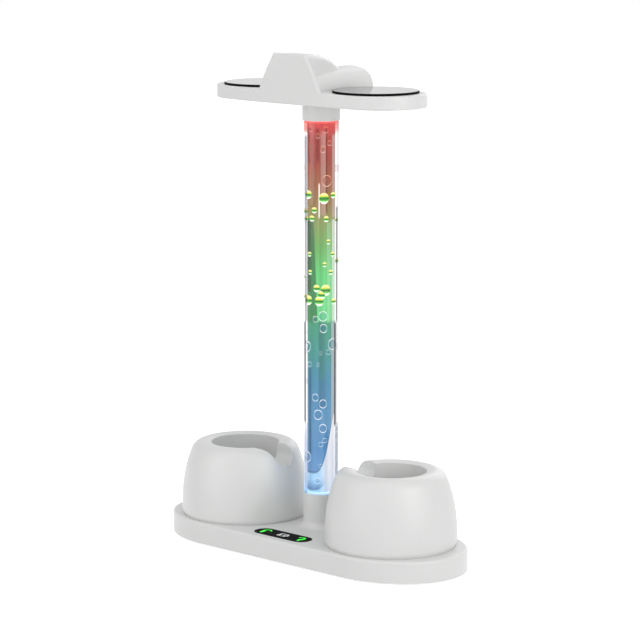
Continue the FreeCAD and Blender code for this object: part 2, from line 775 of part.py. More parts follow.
def make_spring(label, x):
    free_length = "(sizes.spring_length - 2 * sizes.spring_wire_radius - sizes.pin_gap)"
    low = f"({contact_base} + sizes.spring_wire_radius + sizes.pin_gap / 2)"
    helix = bind(doc.addObject("Part::Helix", f"{label}_path"), {
        "Pitch": f"{free_length} / sizes.spring_turns", "Height": free_length, "Radius": "sizes.spring_radius",
        "Placement.Base.x": x, "Placement.Base.z": low,
    })
    wire = doc.addObject("Part::Circle", f"{label}_wire")
    wire.Placement = FreeCAD.Placement(FreeCAD.Vector(), upright)
    bind(wire, {
        "Radius": "sizes.spring_wire_radius",
        "Placement.Base.x": f"{x} + sizes.spring_radius", "Placement.Base.z": low,
    })
    spring = doc.addObject("Part::Sweep", label)
    spring.Sections = [wire]
    spring.Spine = (helix, [])
    spring.Solid = True
    spring.Frenet = True
    finish(spring, label)


# Main board on its standoffs, with sockets at the rear wall and connectors along its front edge
def make_electronics():
    body = new_body("main_board")
    block(body, "Additive", "main_board_plate", "sizes.main_board_length", "sizes.main_board_depth",
          "sizes.board_thickness", main_board_bottom, y=main_board_back)
    for index, (x, y) in enumerate(standoff_places):
        round_bar(body, "Subtractive", f"board_hole_{index}", pilot_radius, main_board_bottom,
                  "sizes.board_thickness", x, y)
    chip = new_body("charge_controller")
    block(chip, "Additive", "charge_controller_case", "sizes.controller_side", "sizes.controller_side",
          "sizes.controller_height", main_board_top, y=main_board_back)
    for name, x in socket_places.items():
        make_socket(name, x)
    front = f"({main_board_front} + sizes.connector_front_margin)"
    y = f"({front} + sizes.connector_depth / 2)"
    places = ("(-sizes.side_connector_half)", "(-sizes.indicator_connector)", "0",
              "sizes.side_connector_half")
    group("board_connectors", [
        box(f"connector_{index}", "sizes.connector_length", "sizes.connector_depth", "sizes.connector_height",
            x, y, main_board_top)
        for index, x in enumerate(places)
    ])
    return front, y


def make_socket(name, x):
    body = new_body(name)
    half = "(sizes.socket_height / 2)"
    length = "(sizes.socket_length / 2)"
    wall = "sizes.socket_wall"
    mouth_depth = "(sizes.socket_depth - 2 * sizes.socket_wall)"
    centre = f"({main_board_top} + {half})"
    for kind, step, inset, low, depth in (
        ("Pad", "shell", "0", socket_face, "sizes.socket_depth"),
        ("Pocket", "mouth", wall, socket_face, mouth_depth),
    ):
        sketch = body_sketch(body, f"{name}_{step}_outline", "XZ_Plane",
                             stadium(f"({length} - {inset})", f"({half} - {inset})"),
                             {"x": x, "y": centre, "z": f"-{low}"})
        feature = body.newObject(f"PartDesign::{kind}", f"{name}_{step}")
        feature.Profile = sketch
        feature.Reversed = kind == "Pocket"
        bind(feature, {"Length": depth})
    tongue = "(sizes.socket_length - 4 * sizes.socket_tongue)"
    tongue_depth = f"({mouth_depth} - sizes.socket_tongue)"
    tongue_y = f"({socket_face} - sizes.socket_depth + 2 * {wall} + {tongue_depth} / 2)"
    block(body, "Additive", f"{name}_tongue", tongue, tongue_depth, "sizes.socket_tongue",
          f"({centre} - sizes.socket_tongue / 2)", x, tongue_y)


# A lead along straight runs joined by tangent arcs
def make_lead(label, route):
    points = [FreeCAD.Vector(*(number(place) for place in point)) for point in route]
    edges = []
    start = points[0]
    for before, corner, after in zip(points, points[1:], points[2:]):
        into = (corner - before).normalize()
        out = (after - corner).normalize()
        turn = into.getAngle(out)
        shorter = min(corner.distanceToPoint(before), corner.distanceToPoint(after))
        reach = 0.45 * shorter
        bend_start = corner - into * reach
        bend_stop = corner + out * reach
        radius = reach / math.tan(turn / 2)
        inward = (out - into).normalize()
        middle = corner + inward * (radius / math.cos(turn / 2) - radius)
        edges.append(Part.LineSegment(start, bend_start).toShape())
        edges.append(Part.Arc(bend_start, middle, bend_stop).toShape())
        start = bend_stop
    edges.append(Part.LineSegment(start, points[-1]).toShape())
    path = Part.Wire(edges)
    section = Part.Wire(Part.Circle(points[0], points[1] - points[0], number("sizes.lead_radius")).toShape())
    lead = doc.addObject("Part::Feature", label)
    lead.Shape = path.makePipeShell([section], True, False)
    finish(lead, label)


def make_leads(front, connector_y):
    outside = "(sizes.side_connector_half + sizes.connector_length / 2)"
    contact_under = f"({contact_base} - sizes.board_thickness)"
    for side, sign in sides.items():
        turn_x = f"({sign} * (sizes.cup_spacing_half + {outside}) / 2)"
        make_lead(f"{side}_contact_lead", [
            (f"({sign} * {outside})", connector_y, lead_level),
            (turn_x, connector_y, lead_level),
            (cup_x(sign), "sizes.lead_rise_back", lead_level),
            (cup_x(sign), "sizes.lead_rise_back", contact_under),
        ])
    make_lead("column_lead", [
        ("0", front, lead_level),
        ("0", "sizes.column_setback", lead_level),
        ("0", "sizes.column_setback", f"({collar_top} + sizes.spigot_length - sizes.strip_end_depth)"),
    ])
    make_lead("indicator_lead", [
        ("(-sizes.indicator_connector)", front, lead_level),
        ("(-sizes.indicator_connector)", f"({panel_y} + sizes.indicator_board_depth / 2)", lead_level),
    ])


# Indicator: black window in the roof, and its lamps on a board below
def make_indicator():
    body = new_body("indicator_panel")
    pad(body, "panel_plate", stadium("sizes.panel_half_length", "sizes.panel_half_depth"),
        f"({base_top} + sizes.panel_proud - sizes.panel_thickness)", "sizes.panel_thickness", y=panel_y)
    board = new_body("indicator_board")
    length = "(2 * sizes.post_spacing_half + 2 * sizes.post_radius)"
    block(board, "Additive", "indicator_board_plate", length, "sizes.indicator_board_depth",
          "sizes.board_thickness", f"({indicator_top} - sizes.board_thickness)", y=panel_y)
    for index, sign in enumerate((-1, 1)):
        round_bar(board, "Subtractive", f"indicator_hole_{index}", pilot_radius,
                  f"({indicator_top} - sizes.board_thickness)", "sizes.board_thickness",
                  f"({sign} * sizes.post_spacing_half)", panel_y)
    group("indicator_leds", [
        box(f"indicator_led_{step + 2}", "sizes.indicator_led_side", "sizes.indicator_led_side",
            "sizes.indicator_led_height", f"({step} * sizes.indicator_led_pitch)", panel_y, indicator_top)
        for step in range(-2, 3)
    ])


# Column: clear tube, milky diffuser in its bore, and a light strip with lamps on both faces
def make_column():
    setback = "sizes.column_setback"
    tube = cut("bubble_tube",
               cylinder("tube_outside", "sizes.column_radius", "sizes.column_length",
                        "0", setback, collar_top),
               cylinder("tube_bore", "sizes.column_bore_radius", "sizes.column_length",
                        "0", setback, collar_top))
    finish(tube, "bubble_tube")
    low = f"({collar_top} + sizes.spigot_length)"
    height = "(sizes.column_length - 2 * sizes.spigot_length)"
    radius = "(sizes.column_bore_radius - sizes.diffuser_gap)"
    diffuser = cut("light_diffuser",
                   cylinder("diffuser_outside", radius, height, "0", setback, low),
                   cylinder("diffuser_bore", f"({radius} - sizes.diffuser_wall)", height, "0", setback, low))
    finish(diffuser, "light_diffuser")
    strip_low = f"({low} - sizes.strip_end_depth)"
    strip_height = f"({height} + 2 * sizes.strip_end_depth)"
    strip = new_body("light_strip")
    block(strip, "Additive", "light_strip_board", "sizes.strip_width", "sizes.strip_thickness", strip_height,
          strip_low, "0", setback)
    count = int(number(height) // number("sizes.strip_led_pitch"))
    first = f"({low} + ({height} - {count - 1} * sizes.strip_led_pitch) / 2 - sizes.strip_led_side / 2)"
    offset = "((sizes.strip_thickness + sizes.strip_led_height) / 2)"
    group("strip_leds", [
        box(f"strip_led_{face}_{index}", "sizes.strip_led_side", "sizes.strip_led_height",
            "sizes.strip_led_side", "0", f"({setback} + {sign} * {offset})",
            f"({first} + {index} * sizes.strip_led_pitch)")
        for face, sign in (("front", -1), ("rear", 1)) for index in range(count)
    ])
    collar = new_body("top_collar")
    spigot = "(sizes.column_bore_radius - sizes.spigot_gap)"
    spigot_low = f"({column_top} - sizes.spigot_length)"
    turned(collar, "top_collar_profile", [
        ("sizes.spigot_bore_radius", spigot_low, None),
        (spigot, spigot_low, None),
        (spigot, column_top, None),
        ("sizes.top_collar_radius", column_top, None),
        ("sizes.top_collar_radius", cradle_bottom, None),
        ("sizes.spigot_bore_radius", cradle_bottom, None),
    ], y=setback)
    for index, (x, y) in enumerate(collar_screw_places):
        round_bar(collar, "Subtractive", f"collar_pilot_{index}", pilot_radius,
                  f"({cradle_bottom} - {pilot_depth})", pilot_depth, x, y)


# Upright cross-section of the saddle: upright sides to a waist, then in to a top with rounded corners.
# The waist and the top are each (half-width, level).
def saddle_section(name, y, low, waist, top, corner):
    run = f"({waist[0]} - {top[0]})"
    lean = f"({run} / sqrt({run}^2 + ({top[1]} - {waist[1]})^2))"
    steep = f"sqrt(1 - {lean}^2)"
    reach = f"({corner} * sqrt((1 - {lean}) / (1 + {lean})))"
    side_x = f"({top[0]} + {reach} * {lean})"
    side_z = f"({top[1]} - {reach} * {steep})"
    flat = f"({top[0]} - {reach})"
    return free_sketch(name, upright, [
        (f"-{waist[0]}", low, None),
        (waist[0], low, None),
        (waist[0], waist[1], None),
        (side_x, side_z, corner),
        (flat, top[1], None),
        (f"-{flat}", top[1], corner),
        (f"-{side_x}", side_z, None),
        (f"-{waist[0]}", waist[1], None),
    ], y=y)


def loft(name, sections, ruled):
    item = doc.addObject("Part::Loft", name)
    item.Sections = sections
    item.Solid = True
    item.Ruled = ruled
    return item


# Saddle and arch of the nose block; inset makes the space inside it
def nose_shapes(name, inset, low):
    ridge = f"({cradle_top} + sizes.nose_height - sizes.nose_plate_round - {inset})"
    arch_top = f"({cradle_top} + sizes.arch_height - {inset})"
    plate_back = f"({cradle_front} + sizes.nose_plate + {inset})"
    rear_y = f"(sizes.cradle_setback + sizes.saddle_end - {inset})"
    round_top = "(1.5 * sizes.nose_corner)"
    along = [
        (plate_back, ridge, "sizes.nose_corner"),
        ("(sizes.cradle_setback - sizes.saddle_crown)", ridge, round_top),
        ("sizes.cradle_setback", f"({ridge} - sizes.saddle_fall)", round_top),
        (rear_y, f"({arch_top} + sizes.saddle_step)", round_top),
        (f"({rear_y} + sizes.saddle_step_length)", f"({arch_top} - sizes.saddle_sink)", round_top),
    ]
    sections = []
    for index, (y, level, corner) in enumerate(along):
        waist = f"(sizes.saddle_waist_half_width - {index} * sizes.saddle_waist_taper - {inset})"
        waist_level = f"({cradle_top} + sizes.saddle_waist_height - {inset})"
        top = f"(sizes.saddle_top_half_width - {index} * sizes.saddle_top_taper - {inset})"
        sections.append(saddle_section(f"{name}_section_{index}", y, low, (waist, waist_level), (top, level),
                                       f"({corner} - {inset})"))
    wide = f"(sizes.arch_half_width - {inset})"
    tall = f"(sizes.arch_height - {inset})"
    end = f"(sizes.arch_end_radius - {inset})"
    side = f"((({wide} - {end})^2 + {tall}^2 - {end}^2) / (2 * ({tall} - {end})))"
    join_x = f"({wide} - {end} + {end} * ({wide} - {end}) / ({side} - {end}))"
    join_z = f"({cradle_top} + {end} * ({side} - {tall}) / ({side} - {end}))"
    arch_back = f"(sizes.cradle_setback + sizes.cradle_half_depth - {inset})"
    arch = extrusion(f"{name}_arch", free_sketch(f"{name}_arch_section", upright, [
        (f"-{wide}", low, None),
        (wide, low, None),
        (wide, cradle_top, end),
        (join_x, join_z, side),
        (f"-{join_x}", join_z, end),
        (f"-{wide}", cradle_top, None),
    ], y=arch_back), f"({arch_back} - {plate_back})")
    return [loft(f"{name}_saddle", sections[:-1], False), loft(f"{name}_step", sections[-2:], True), arch]


# Front plate of the nose block, with rounded front edges
def nose_plate(tall_outline):
    low = f"({cradle_top} - sizes.cradle_roof)"
    top = f"({cradle_top} + sizes.nose_height)"
    back = f"({cradle_front} + sizes.nose_plate)"
    blank = extrusion("nose_plate_blank", free_sketch("nose_plate_section", upright, [
        ("(-sizes.nose_half_width)", low, None),
        ("sizes.nose_half_width", low, None),
        ("sizes.nose_half_width", cradle_top, "sizes.nose_side_radius"),
        ("sizes.nose_top_half_width", top, None),
        ("(-sizes.nose_top_half_width)", top, "sizes.nose_side_radius"),
        ("(-sizes.nose_half_width)", cradle_top, None),
    ], y=back), "(2 * sizes.nose_plate)")
    plate = common("nose_plate", blank, tall_outline)
    doc.recompute()
    front = number(cradle_front) + number("sizes.nose_plate") / 2
    floor_level = number(low) + level_tolerance
    edges = [
        index for index, edge in enumerate(plate.Shape.Edges, start=1)
        if all(vertex.Y < front for vertex in edge.Vertexes)
        and any(vertex.Z > floor_level for vertex in edge.Vertexes)
    ]
    rounded = doc.addObject("Part::Fillet", "nose_plate_rounded")
    rounded.Base = plate
    radius = number("sizes.nose_plate_round")
    rounded.Edges = [(index, radius, radius) for index in edges]
    return rounded


def cradle_solid(name, inset, low, height):
    sketch = free_sketch(f"{name}_outline", FreeCAD.Rotation(), cradle_oval(inset),
                         y="sizes.cradle_setback", z=low)
    return extrusion(name, sketch, height)


# Cradle shell: oval plate, hollow below, with seats for the pads and the nose block in one moulding
def make_cradle():
    plate = cradle_solid("cradle_block", "0", cradle_bottom, "sizes.cradle_thickness")
    doc.recompute()
    rounded = doc.addObject("Part::Fillet", "cradle_rounded")
    rounded.Base = plate
    radius = number("sizes.cradle_edge_round")
    rounded.Edges = [(index, radius, radius) for level in (cradle_top, cradle_bottom)
                     for index in edges_at(plate.Shape, level)]
    tall = cradle_solid("cradle_tall", "0", cradle_bottom, "(sizes.cradle_thickness + 2 * sizes.nose_height)")
    outside = nose_shapes("nose", "0", f"({cradle_top} - sizes.cradle_roof)")
    inside = nose_shapes("nose_inside", "sizes.nose_wall", f"({cradle_under} - {cut_margin} / 2)")
    nose = common("nose_trimmed", joined("nose_shapes", outside), tall)
    blank = joined("cradle_blank", [rounded, nose, nose_plate(tall)])
    hollow_height = "(sizes.cradle_thickness - sizes.cradle_roof)"
    seats = [
        cylinder(f"{side}_pad_seat", "(sizes.pad_radius + sizes.cover_gap)", "sizes.pad_thickness",
                 f"({sign} * sizes.pad_spacing_half)", "sizes.cradle_setback",
                 f"({cradle_top} - sizes.pad_seat)")
        for side, sign in sides.items()
    ]
    hollow = cradle_solid("cradle_hollow", "sizes.cradle_wall", cradle_bottom, hollow_height)
    shell = cut("cradle_hollowed", blank, joined("cradle_spaces", [hollow] + inside + seats))
    boss_height = f"({cradle_under} - {cradle_cover_top})"
    bosses = [cylinder(f"cradle_boss_{index}", "sizes.boss_radius", boss_height, x, y, cradle_cover_top)
              for index, (x, y) in enumerate(cradle_boss_places)]
    pilots = [cylinder(f"cradle_pilot_{index}", pilot_radius, boss_height, x, y, cradle_cover_top)
              for index, (x, y) in enumerate(cradle_boss_places)]
    walls = joined("cradle_walls", [shell] + bosses)
    finish(cut("cradle_shell", walls, joined("cradle_pilots", pilots)), "cradle_shell")
    cover = new_body("cradle_cover")
    pad(cover, "cradle_cover_plate", cradle_oval("(sizes.cradle_wall + sizes.cover_gap)"), cradle_bottom,
        "sizes.cradle_cover_thickness", y="sizes.cradle_setback")
    round_bar(cover, "Subtractive", "cradle_cover_bore", "sizes.spigot_bore_radius", cradle_bottom,
              "sizes.cradle_cover_thickness", y="sizes.column_setback")
    for index, (x, y) in enumerate(collar_screw_places + cradle_boss_places):
        round_bar(cover, "Subtractive", f"cradle_cover_hole_{index}", pilot_radius, cradle_bottom,
                  "sizes.cradle_cover_thickness", x, y)
    for index, (x, y) in enumerate(cradle_boss_places):
        round_bar(cover, "Subtractive", f"cradle_head_seat_{index}",
                  "(sizes.screw_head_radius + sizes.screw_gap)", cradle_bottom,
                  "sizes.screw_head_height", x, y)


def make_pads():
    for side, sign in sides.items():
        body = new_body(f"{side}_rest_pad")
        round_bar(body, "Additive", f"{side}_pad_disc", "sizes.pad_radius", f"({cradle_top} - sizes.pad_seat)",
                  "sizes.pad_thickness", f"({sign} * sizes.pad_spacing_half)", "sizes.cradle_setback")
        round_edges(body, f"{side}_pad_edge", f"({cradle_top} - sizes.pad_seat + sizes.pad_thickness)",
                    "sizes.pad_edge_round")


def make_screws():
    seat = f"({base_bottom} + sizes.screw_head_height)"
    screws("cover_screws", [(x, y, seat) for x, y in cover_screw_places], True)
    for side, sign in sides.items():
        screws(f"{side}_cup_screws", [(x, y, roof_under) for x, y in cup_screw_places(sign)], True,
               "sizes.cup_screw_length")
    screws("board_screws", [(x, y, main_board_top) for x, y in standoff_places], False,
           "sizes.board_screw_length")
    board_under = f"({indicator_top} - sizes.board_thickness)"
    screws("indicator_screws", [
        (f"({sign} * sizes.post_spacing_half)", panel_y, board_under) for sign in (-1, 1)
    ], True, "sizes.indicator_screw_length")
    screws("collar_screws", [(x, y, cradle_cover_top) for x, y in collar_screw_places], False)
    cradle_seat = f"({cradle_bottom} + sizes.screw_head_height)"
    screws("cradle_screws", [(x, y, cradle_seat) for x, y in cradle_boss_places], True,
           "sizes.cradle_screw_length")


make_base_shell()
make_bottom_cover()
make_feet()
make_ballast()
for side, sign in sides.items():
    make_cup(side, sign)
    make_contacts(side, sign)
connector_front, connector_y = make_electronics()
make_leads(connector_front, connector_y)
make_indicator()
make_column()
make_cradle()
make_pads()
make_screws()
doc.recompute()

failed = [item.Label for item in doc.Objects if {"Invalid", "Error"} & set(item.State)]
failed += [item.Label for item in finished if item.Shape.isNull() or not item.Shape.isValid()]
if failed:
    raise SystemExit(f"These did not build: {failed}")

os.makedirs("parts", exist_ok=True)
for item in finished:
    item.Shape.exportStep(f"parts/{item.Label}.step")
    print(item.Label, len(item.Shape.Solids), round(item.Shape.Volume))
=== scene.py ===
import json
import math
import random

import bmesh
import bpy
from mathutils import Matrix, Vector

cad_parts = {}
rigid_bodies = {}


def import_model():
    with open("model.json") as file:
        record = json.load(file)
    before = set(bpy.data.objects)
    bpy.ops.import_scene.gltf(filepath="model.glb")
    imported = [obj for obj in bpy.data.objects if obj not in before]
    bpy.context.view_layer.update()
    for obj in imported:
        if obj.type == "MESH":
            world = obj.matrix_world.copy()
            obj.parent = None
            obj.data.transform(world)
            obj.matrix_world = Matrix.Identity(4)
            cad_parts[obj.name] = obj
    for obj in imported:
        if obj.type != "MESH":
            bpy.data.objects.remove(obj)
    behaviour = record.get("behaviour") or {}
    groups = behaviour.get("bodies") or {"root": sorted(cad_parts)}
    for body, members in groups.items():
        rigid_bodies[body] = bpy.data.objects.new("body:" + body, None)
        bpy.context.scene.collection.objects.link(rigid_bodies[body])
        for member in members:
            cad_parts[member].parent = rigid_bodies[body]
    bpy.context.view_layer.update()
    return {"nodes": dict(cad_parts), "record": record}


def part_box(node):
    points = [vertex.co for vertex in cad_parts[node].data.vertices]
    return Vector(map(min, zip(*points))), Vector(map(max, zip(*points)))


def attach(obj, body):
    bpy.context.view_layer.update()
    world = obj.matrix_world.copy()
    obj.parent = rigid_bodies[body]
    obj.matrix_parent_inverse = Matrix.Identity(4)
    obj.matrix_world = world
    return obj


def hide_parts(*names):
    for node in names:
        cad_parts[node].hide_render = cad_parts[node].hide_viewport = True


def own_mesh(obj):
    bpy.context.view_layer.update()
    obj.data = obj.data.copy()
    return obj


for old in list(bpy.data.objects):
    bpy.data.objects.remove(old)  # start-up cube, lamp and camera

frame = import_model()
nodes = frame["nodes"]
mm = 0.001
viewRight = (0.7328, 0.6805, 0.0)  # across the column as the photo shows it, fixed to the dock
viewFront = (0.6805, -0.7328, 0.0)
print("frame loaded:", len(nodes), "nodes")


# Sockets go by name, or by number where Blender's names repeat:
# a Map Range turns 0 from the range 1-2 to the range 3-4, and a colour Mix blends 6 and 7 by 0
def addNode(tree, kind, links=None, stops=(), **settings):
    node = tree.nodes.new(kind)
    for key, value in settings.items():
        setattr(node, key, value)
    for index, (position, colour) in enumerate(stops):  # a ramp's colours, lowest first
        elements = node.color_ramp.elements
        element = elements[index] if index < 2 else elements.new(position)
        element.position = position
        element.color = hexColour(colour)
    for key, value in (links or {}).items():
        if isinstance(value, bpy.types.NodeSocket):
            tree.links.new(value, node.inputs[key])
        else:
            node.inputs[key].default_value = value
    return node


def hexColour(text):
    parts = [int(text[i:i + 2], 16) / 255 for i in (1, 3, 5)]
    return tuple(c / 12.92 if c <= 0.04045 else ((c + 0.055) / 1.055) ** 2.4 for c in parts) + (1.0,)


def newMaterial(name):
    material = bpy.data.materials.new(name)
    material.use_nodes = True
    material.node_tree.nodes.clear()
    return material, material.node_tree


def closeMaterial(tree, shader):
    addNode(tree, "ShaderNodeOutputMaterial", {"Surface": shader.outputs[0]})


noiseLow, noiseHigh = 0.3, 0.7  # most of a noise's values lie between these

# Injection-moulded ABS from a spark-eroded tool: white all through, satin, with a faint unevenness of gloss
absShell = {"colour": "#dcdcdb", "shade": "#d7d8d7", "rough": 0.4, "uneven": 0.04, "grainMm": 0.8,
            "grainDeepMm": 0.03, "grainStrength": 0.06, "flowMm": 60}


def mouldedAbs(name, look):
    material, tree = newMaterial(name)
    place = addNode(tree, "ShaderNodeTexCoord").outputs["Object"]
    flow = addNode(tree, "ShaderNodeTexNoise", {
        "Vector": place, "Scale": 1 / (look["flowMm"] * mm), "Detail": 3.0})
    # the tool's grain is about 0.1 mm, drawn coarser so that it shows
    grain = addNode(tree, "ShaderNodeTexNoise", {
        "Vector": place, "Scale": 1 / (look["grainMm"] * mm), "Detail": 2.0})
    tint = addNode(tree, "ShaderNodeMix", {
        0: flow.outputs[0], 6: hexColour(look["colour"]), 7: hexColour(look["shade"])}, data_type="RGBA")
    gloss = addNode(tree, "ShaderNodeMapRange", {
        0: flow.outputs[0], 1: noiseLow, 2: noiseHigh, 3: look["rough"] - look["uneven"],
        4: look["rough"] + look["uneven"]})
    bump = addNode(tree, "ShaderNodeBump", {
        "Height": grain.outputs[0], "Strength": look["grainStrength"], "Distance": look["grainDeepMm"] * mm})
    shader = addNode(tree, "ShaderNodeBsdfPrincipled", {
        "Base Color": tint.outputs[2], "Roughness": gloss.outputs[0], "Normal": bump.outputs[0], "IOR": 1.53})
    closeMaterial(tree, shader)
    return material


# Cast acrylic, polished: water-clear, with painted glow at its ends; the grey and black edges, where it
# bends the light away, are painted shade and painted refraction, set by how far the wall turns from the eye
acrylicLook = {
    "low": 50, "high": 373, "meet": 1.5,  # mm; bands of height meet over twice the last
    # painted glow of the end lamps in the glass: pale blue at the foot, red at the head, by height in mm
    "ends": [(50, "#c2daf4"), (58, "#c4dcf4"), (66, "#dce6f4"), (95, "#eceff8"), (112, "#ffffff"),
             (360, "#ffffff"), (364, "#f8a8a4"), (368, "#f08884"), (372, "#ee6a64")],
    # bands of painted edge shade: (top in mm, tint towards the rim), 0 facing the eye and 1 seen edge-on
    "left": [
        (112, [(0.38, "#ffffff"), (0.44, "#a0a4b4"), (0.62, "#8e96aa"), (0.7, "#c4c8d2"), (0.8, "#ffffff")]),
        (200.5, [(0.42, "#ffffff"), (0.48, "#c4c4c8"), (0.54, "#101014"), (0.76, "#060608"),
                 (0.95, "#2c2c30")]),
        (360, [(0.38, "#ffffff"), (0.44, "#5c5c64"), (0.62, "#4c4c54"), (0.7, "#a8a8ae"), (0.8, "#ffffff")]),
        (373, [(0.4, "#ffffff"), (0.6, "#f4d0cc"), (0.8, "#ffffff")])],
    "right": [
        (110, [(0.31, "#ffffff"), (0.42, "#d8dde8"), (0.56, "#c8d0de"), (0.66, "#ffffff")]),
        (200.5, [(0.3, "#ffffff"), (0.34, "#141318"), (0.43, "#08080b"), (0.5, "#8c8c92"),
                 (0.75, "#b8b8be")]),
        (300, [(0.42, "#ffffff"), (0.47, "#34363a"), (0.52, "#0e1012"), (0.6, "#181a1c"), (0.7, "#ffffff")]),
        (373, [(0.5, "#ffffff"), (0.6, "#a8a8ac"), (0.74, "#6c6c72"), (0.86, "#ffffff")])],
    "sideBlend": 0.1, "drawnMm": 5, "drawnAlong": 0.04, "drawnDeepMm": 0.1, "drawnStrength": 0.05,
}


def castAcrylic(name, look):
    material, tree = newMaterial(name)
    place = addNode(tree, "ShaderNodeTexCoord").outputs["Object"]
    height = addNode(tree, "ShaderNodeSeparateXYZ", {0: place}).outputs[2]
    low, high, meet, blend = look["low"], look["high"], look["meet"], look["sideBlend"]
    along = addNode(tree, "ShaderNodeMapRange", {0: height, 1: low * mm, 2: high * mm})
    # painted glow near the tube's ends, by height
    ends = addNode(tree, "ShaderNodeValToRGB", {0: along.outputs[0]},
                   [((level - low) / (high - low), colour) for level, colour in look["ends"]])
    # painted shade and painted refraction at the tube's edges, by how far the wall turns from the eye
    edge = addNode(tree, "ShaderNodeLayerWeight", {"Blend": 0.5}).outputs["Facing"]
    paintedEdgeShade = {}
    for key in ("left", "right"):
        below = None
        for top, stops in look[key]:
            ramp = addNode(tree, "ShaderNodeValToRGB", {0: edge}, stops).outputs[0]
            if below is None:
                paintedEdgeShade[key] = ramp
            else:
                share = addNode(tree, "ShaderNodeMapRange", {
                    0: height, 1: (below - meet) * mm, 2: (below + meet) * mm})
                paintedEdgeShade[key] = addNode(tree, "ShaderNodeMix", {0: share.outputs[0], 6: paintedEdgeShade[key], 7: ramp},
                                    data_type="RGBA").outputs[2]
            below = top
    facing = addNode(tree, "ShaderNodeNewGeometry").outputs["Normal"]
    across = addNode(tree, "ShaderNodeVectorMath", {0: facing, 1: viewRight}, operation="DOT_PRODUCT")
    side = addNode(tree, "ShaderNodeMapRange", {0: across.outputs["Value"], 1: -blend, 2: blend})
    sides = addNode(tree, "ShaderNodeMix", {0: side.outputs[0], 6: paintedEdgeShade["left"], 7: paintedEdgeShade["right"]},
                    data_type="RGBA")
    # the glass's colour: painted edge shade times painted glow at the ends
    tint = addNode(tree, "ShaderNodeMix", {0: 1.0, 6: sides.outputs[2], 7: ends.outputs[0]}, data_type="RGBA",
                   blend_type="MULTIPLY")
    stretch = addNode(tree, "ShaderNodeMapping", {"Vector": place, "Scale": (1.0, 1.0, look["drawnAlong"])})
    drawn = addNode(tree, "ShaderNodeTexNoise", {
        "Vector": stretch.outputs[0], "Scale": 1 / (look["drawnMm"] * mm), "Detail": 1.0})
    bump = addNode(tree, "ShaderNodeBump", {
        "Height": drawn.outputs[0], "Strength": look["drawnStrength"], "Distance": look["drawnDeepMm"] * mm})
    shader = addNode(tree, "ShaderNodeBsdfPrincipled", {
        "Base Color": tint.outputs[2], "Roughness": 0.01, "IOR": 1.49, "Transmission Weight": 1.0,
        "Normal": bump.outputs[0]})
    closeMaterial(tree, shader)
    return material


# Optical gel between tube and core: same index as the acrylic, so the bore's wall can't be seen
def clearGel(name):
    material, tree = newMaterial(name)
    closeMaterial(tree, addNode(tree, "ShaderNodeBsdfTransparent", {"Color": (1, 1, 1, 1)}))
    return material


# Air bubbles in the column, with painted glow, highlights and shade: yellow-green beads where the light
# is green, elsewhere clear rings, painted bright below in the cool light and bright above in the warm light
bubbleLook = {
    "beadLow": 210, "beadHigh": 313, "meet": 1,  # mm
    # painted highlights and shade of each bubble, from its underside at 0 to its top at 1
    "paintedBead": [(0.0, "#a8d018"), (0.07, "#ffffff"), (0.28, "#f6ffe8"), (0.36, "#5cd84c"), (0.45, "#0c8f1e"),
             (0.53, "#086412"), (0.59, "#3cba28"), (0.64, "#ecdc30"), (0.74, "#fdf284"), (0.86, "#fff9cc"),
             (0.95, "#ffdc48"), (1.0, "#dca81c")],
    "paintedCoolRim": [(0.0, "#ffffff"), (0.3, "#ffffff"), (0.44, "#b4d4ea"), (0.7, "#a4c8e2"), (0.9, "#e4eef4"),
             (1.0, "#ffdcd0")],
    "paintedWarmRim": [(0.0, "#fff0e0"), (0.26, "#ffd8b8"), (0.44, "#d87050"), (0.62, "#d05a3a"), (0.78, "#ff8a48"),
             (0.9, "#ffb060"), (1.0, "#ffc47a")],
    # painted shade inside each ring, tinted like the core
    "coolInside": "#2a6896", "warmInside": "#8e4436",
    "ringEdge": (0.3, 0.6), "foot": (0.44, 0.2), "skinEdge": (0.5, 0.8), "skinAlpha": (0.16, 0.75),
    "halves": (0.3, 0.8), "coolHalves": (1.0, 0.4), "warmHalves": (0.6, 1.7), "beadAlpha": 0.97, "glow": 1.12,
}


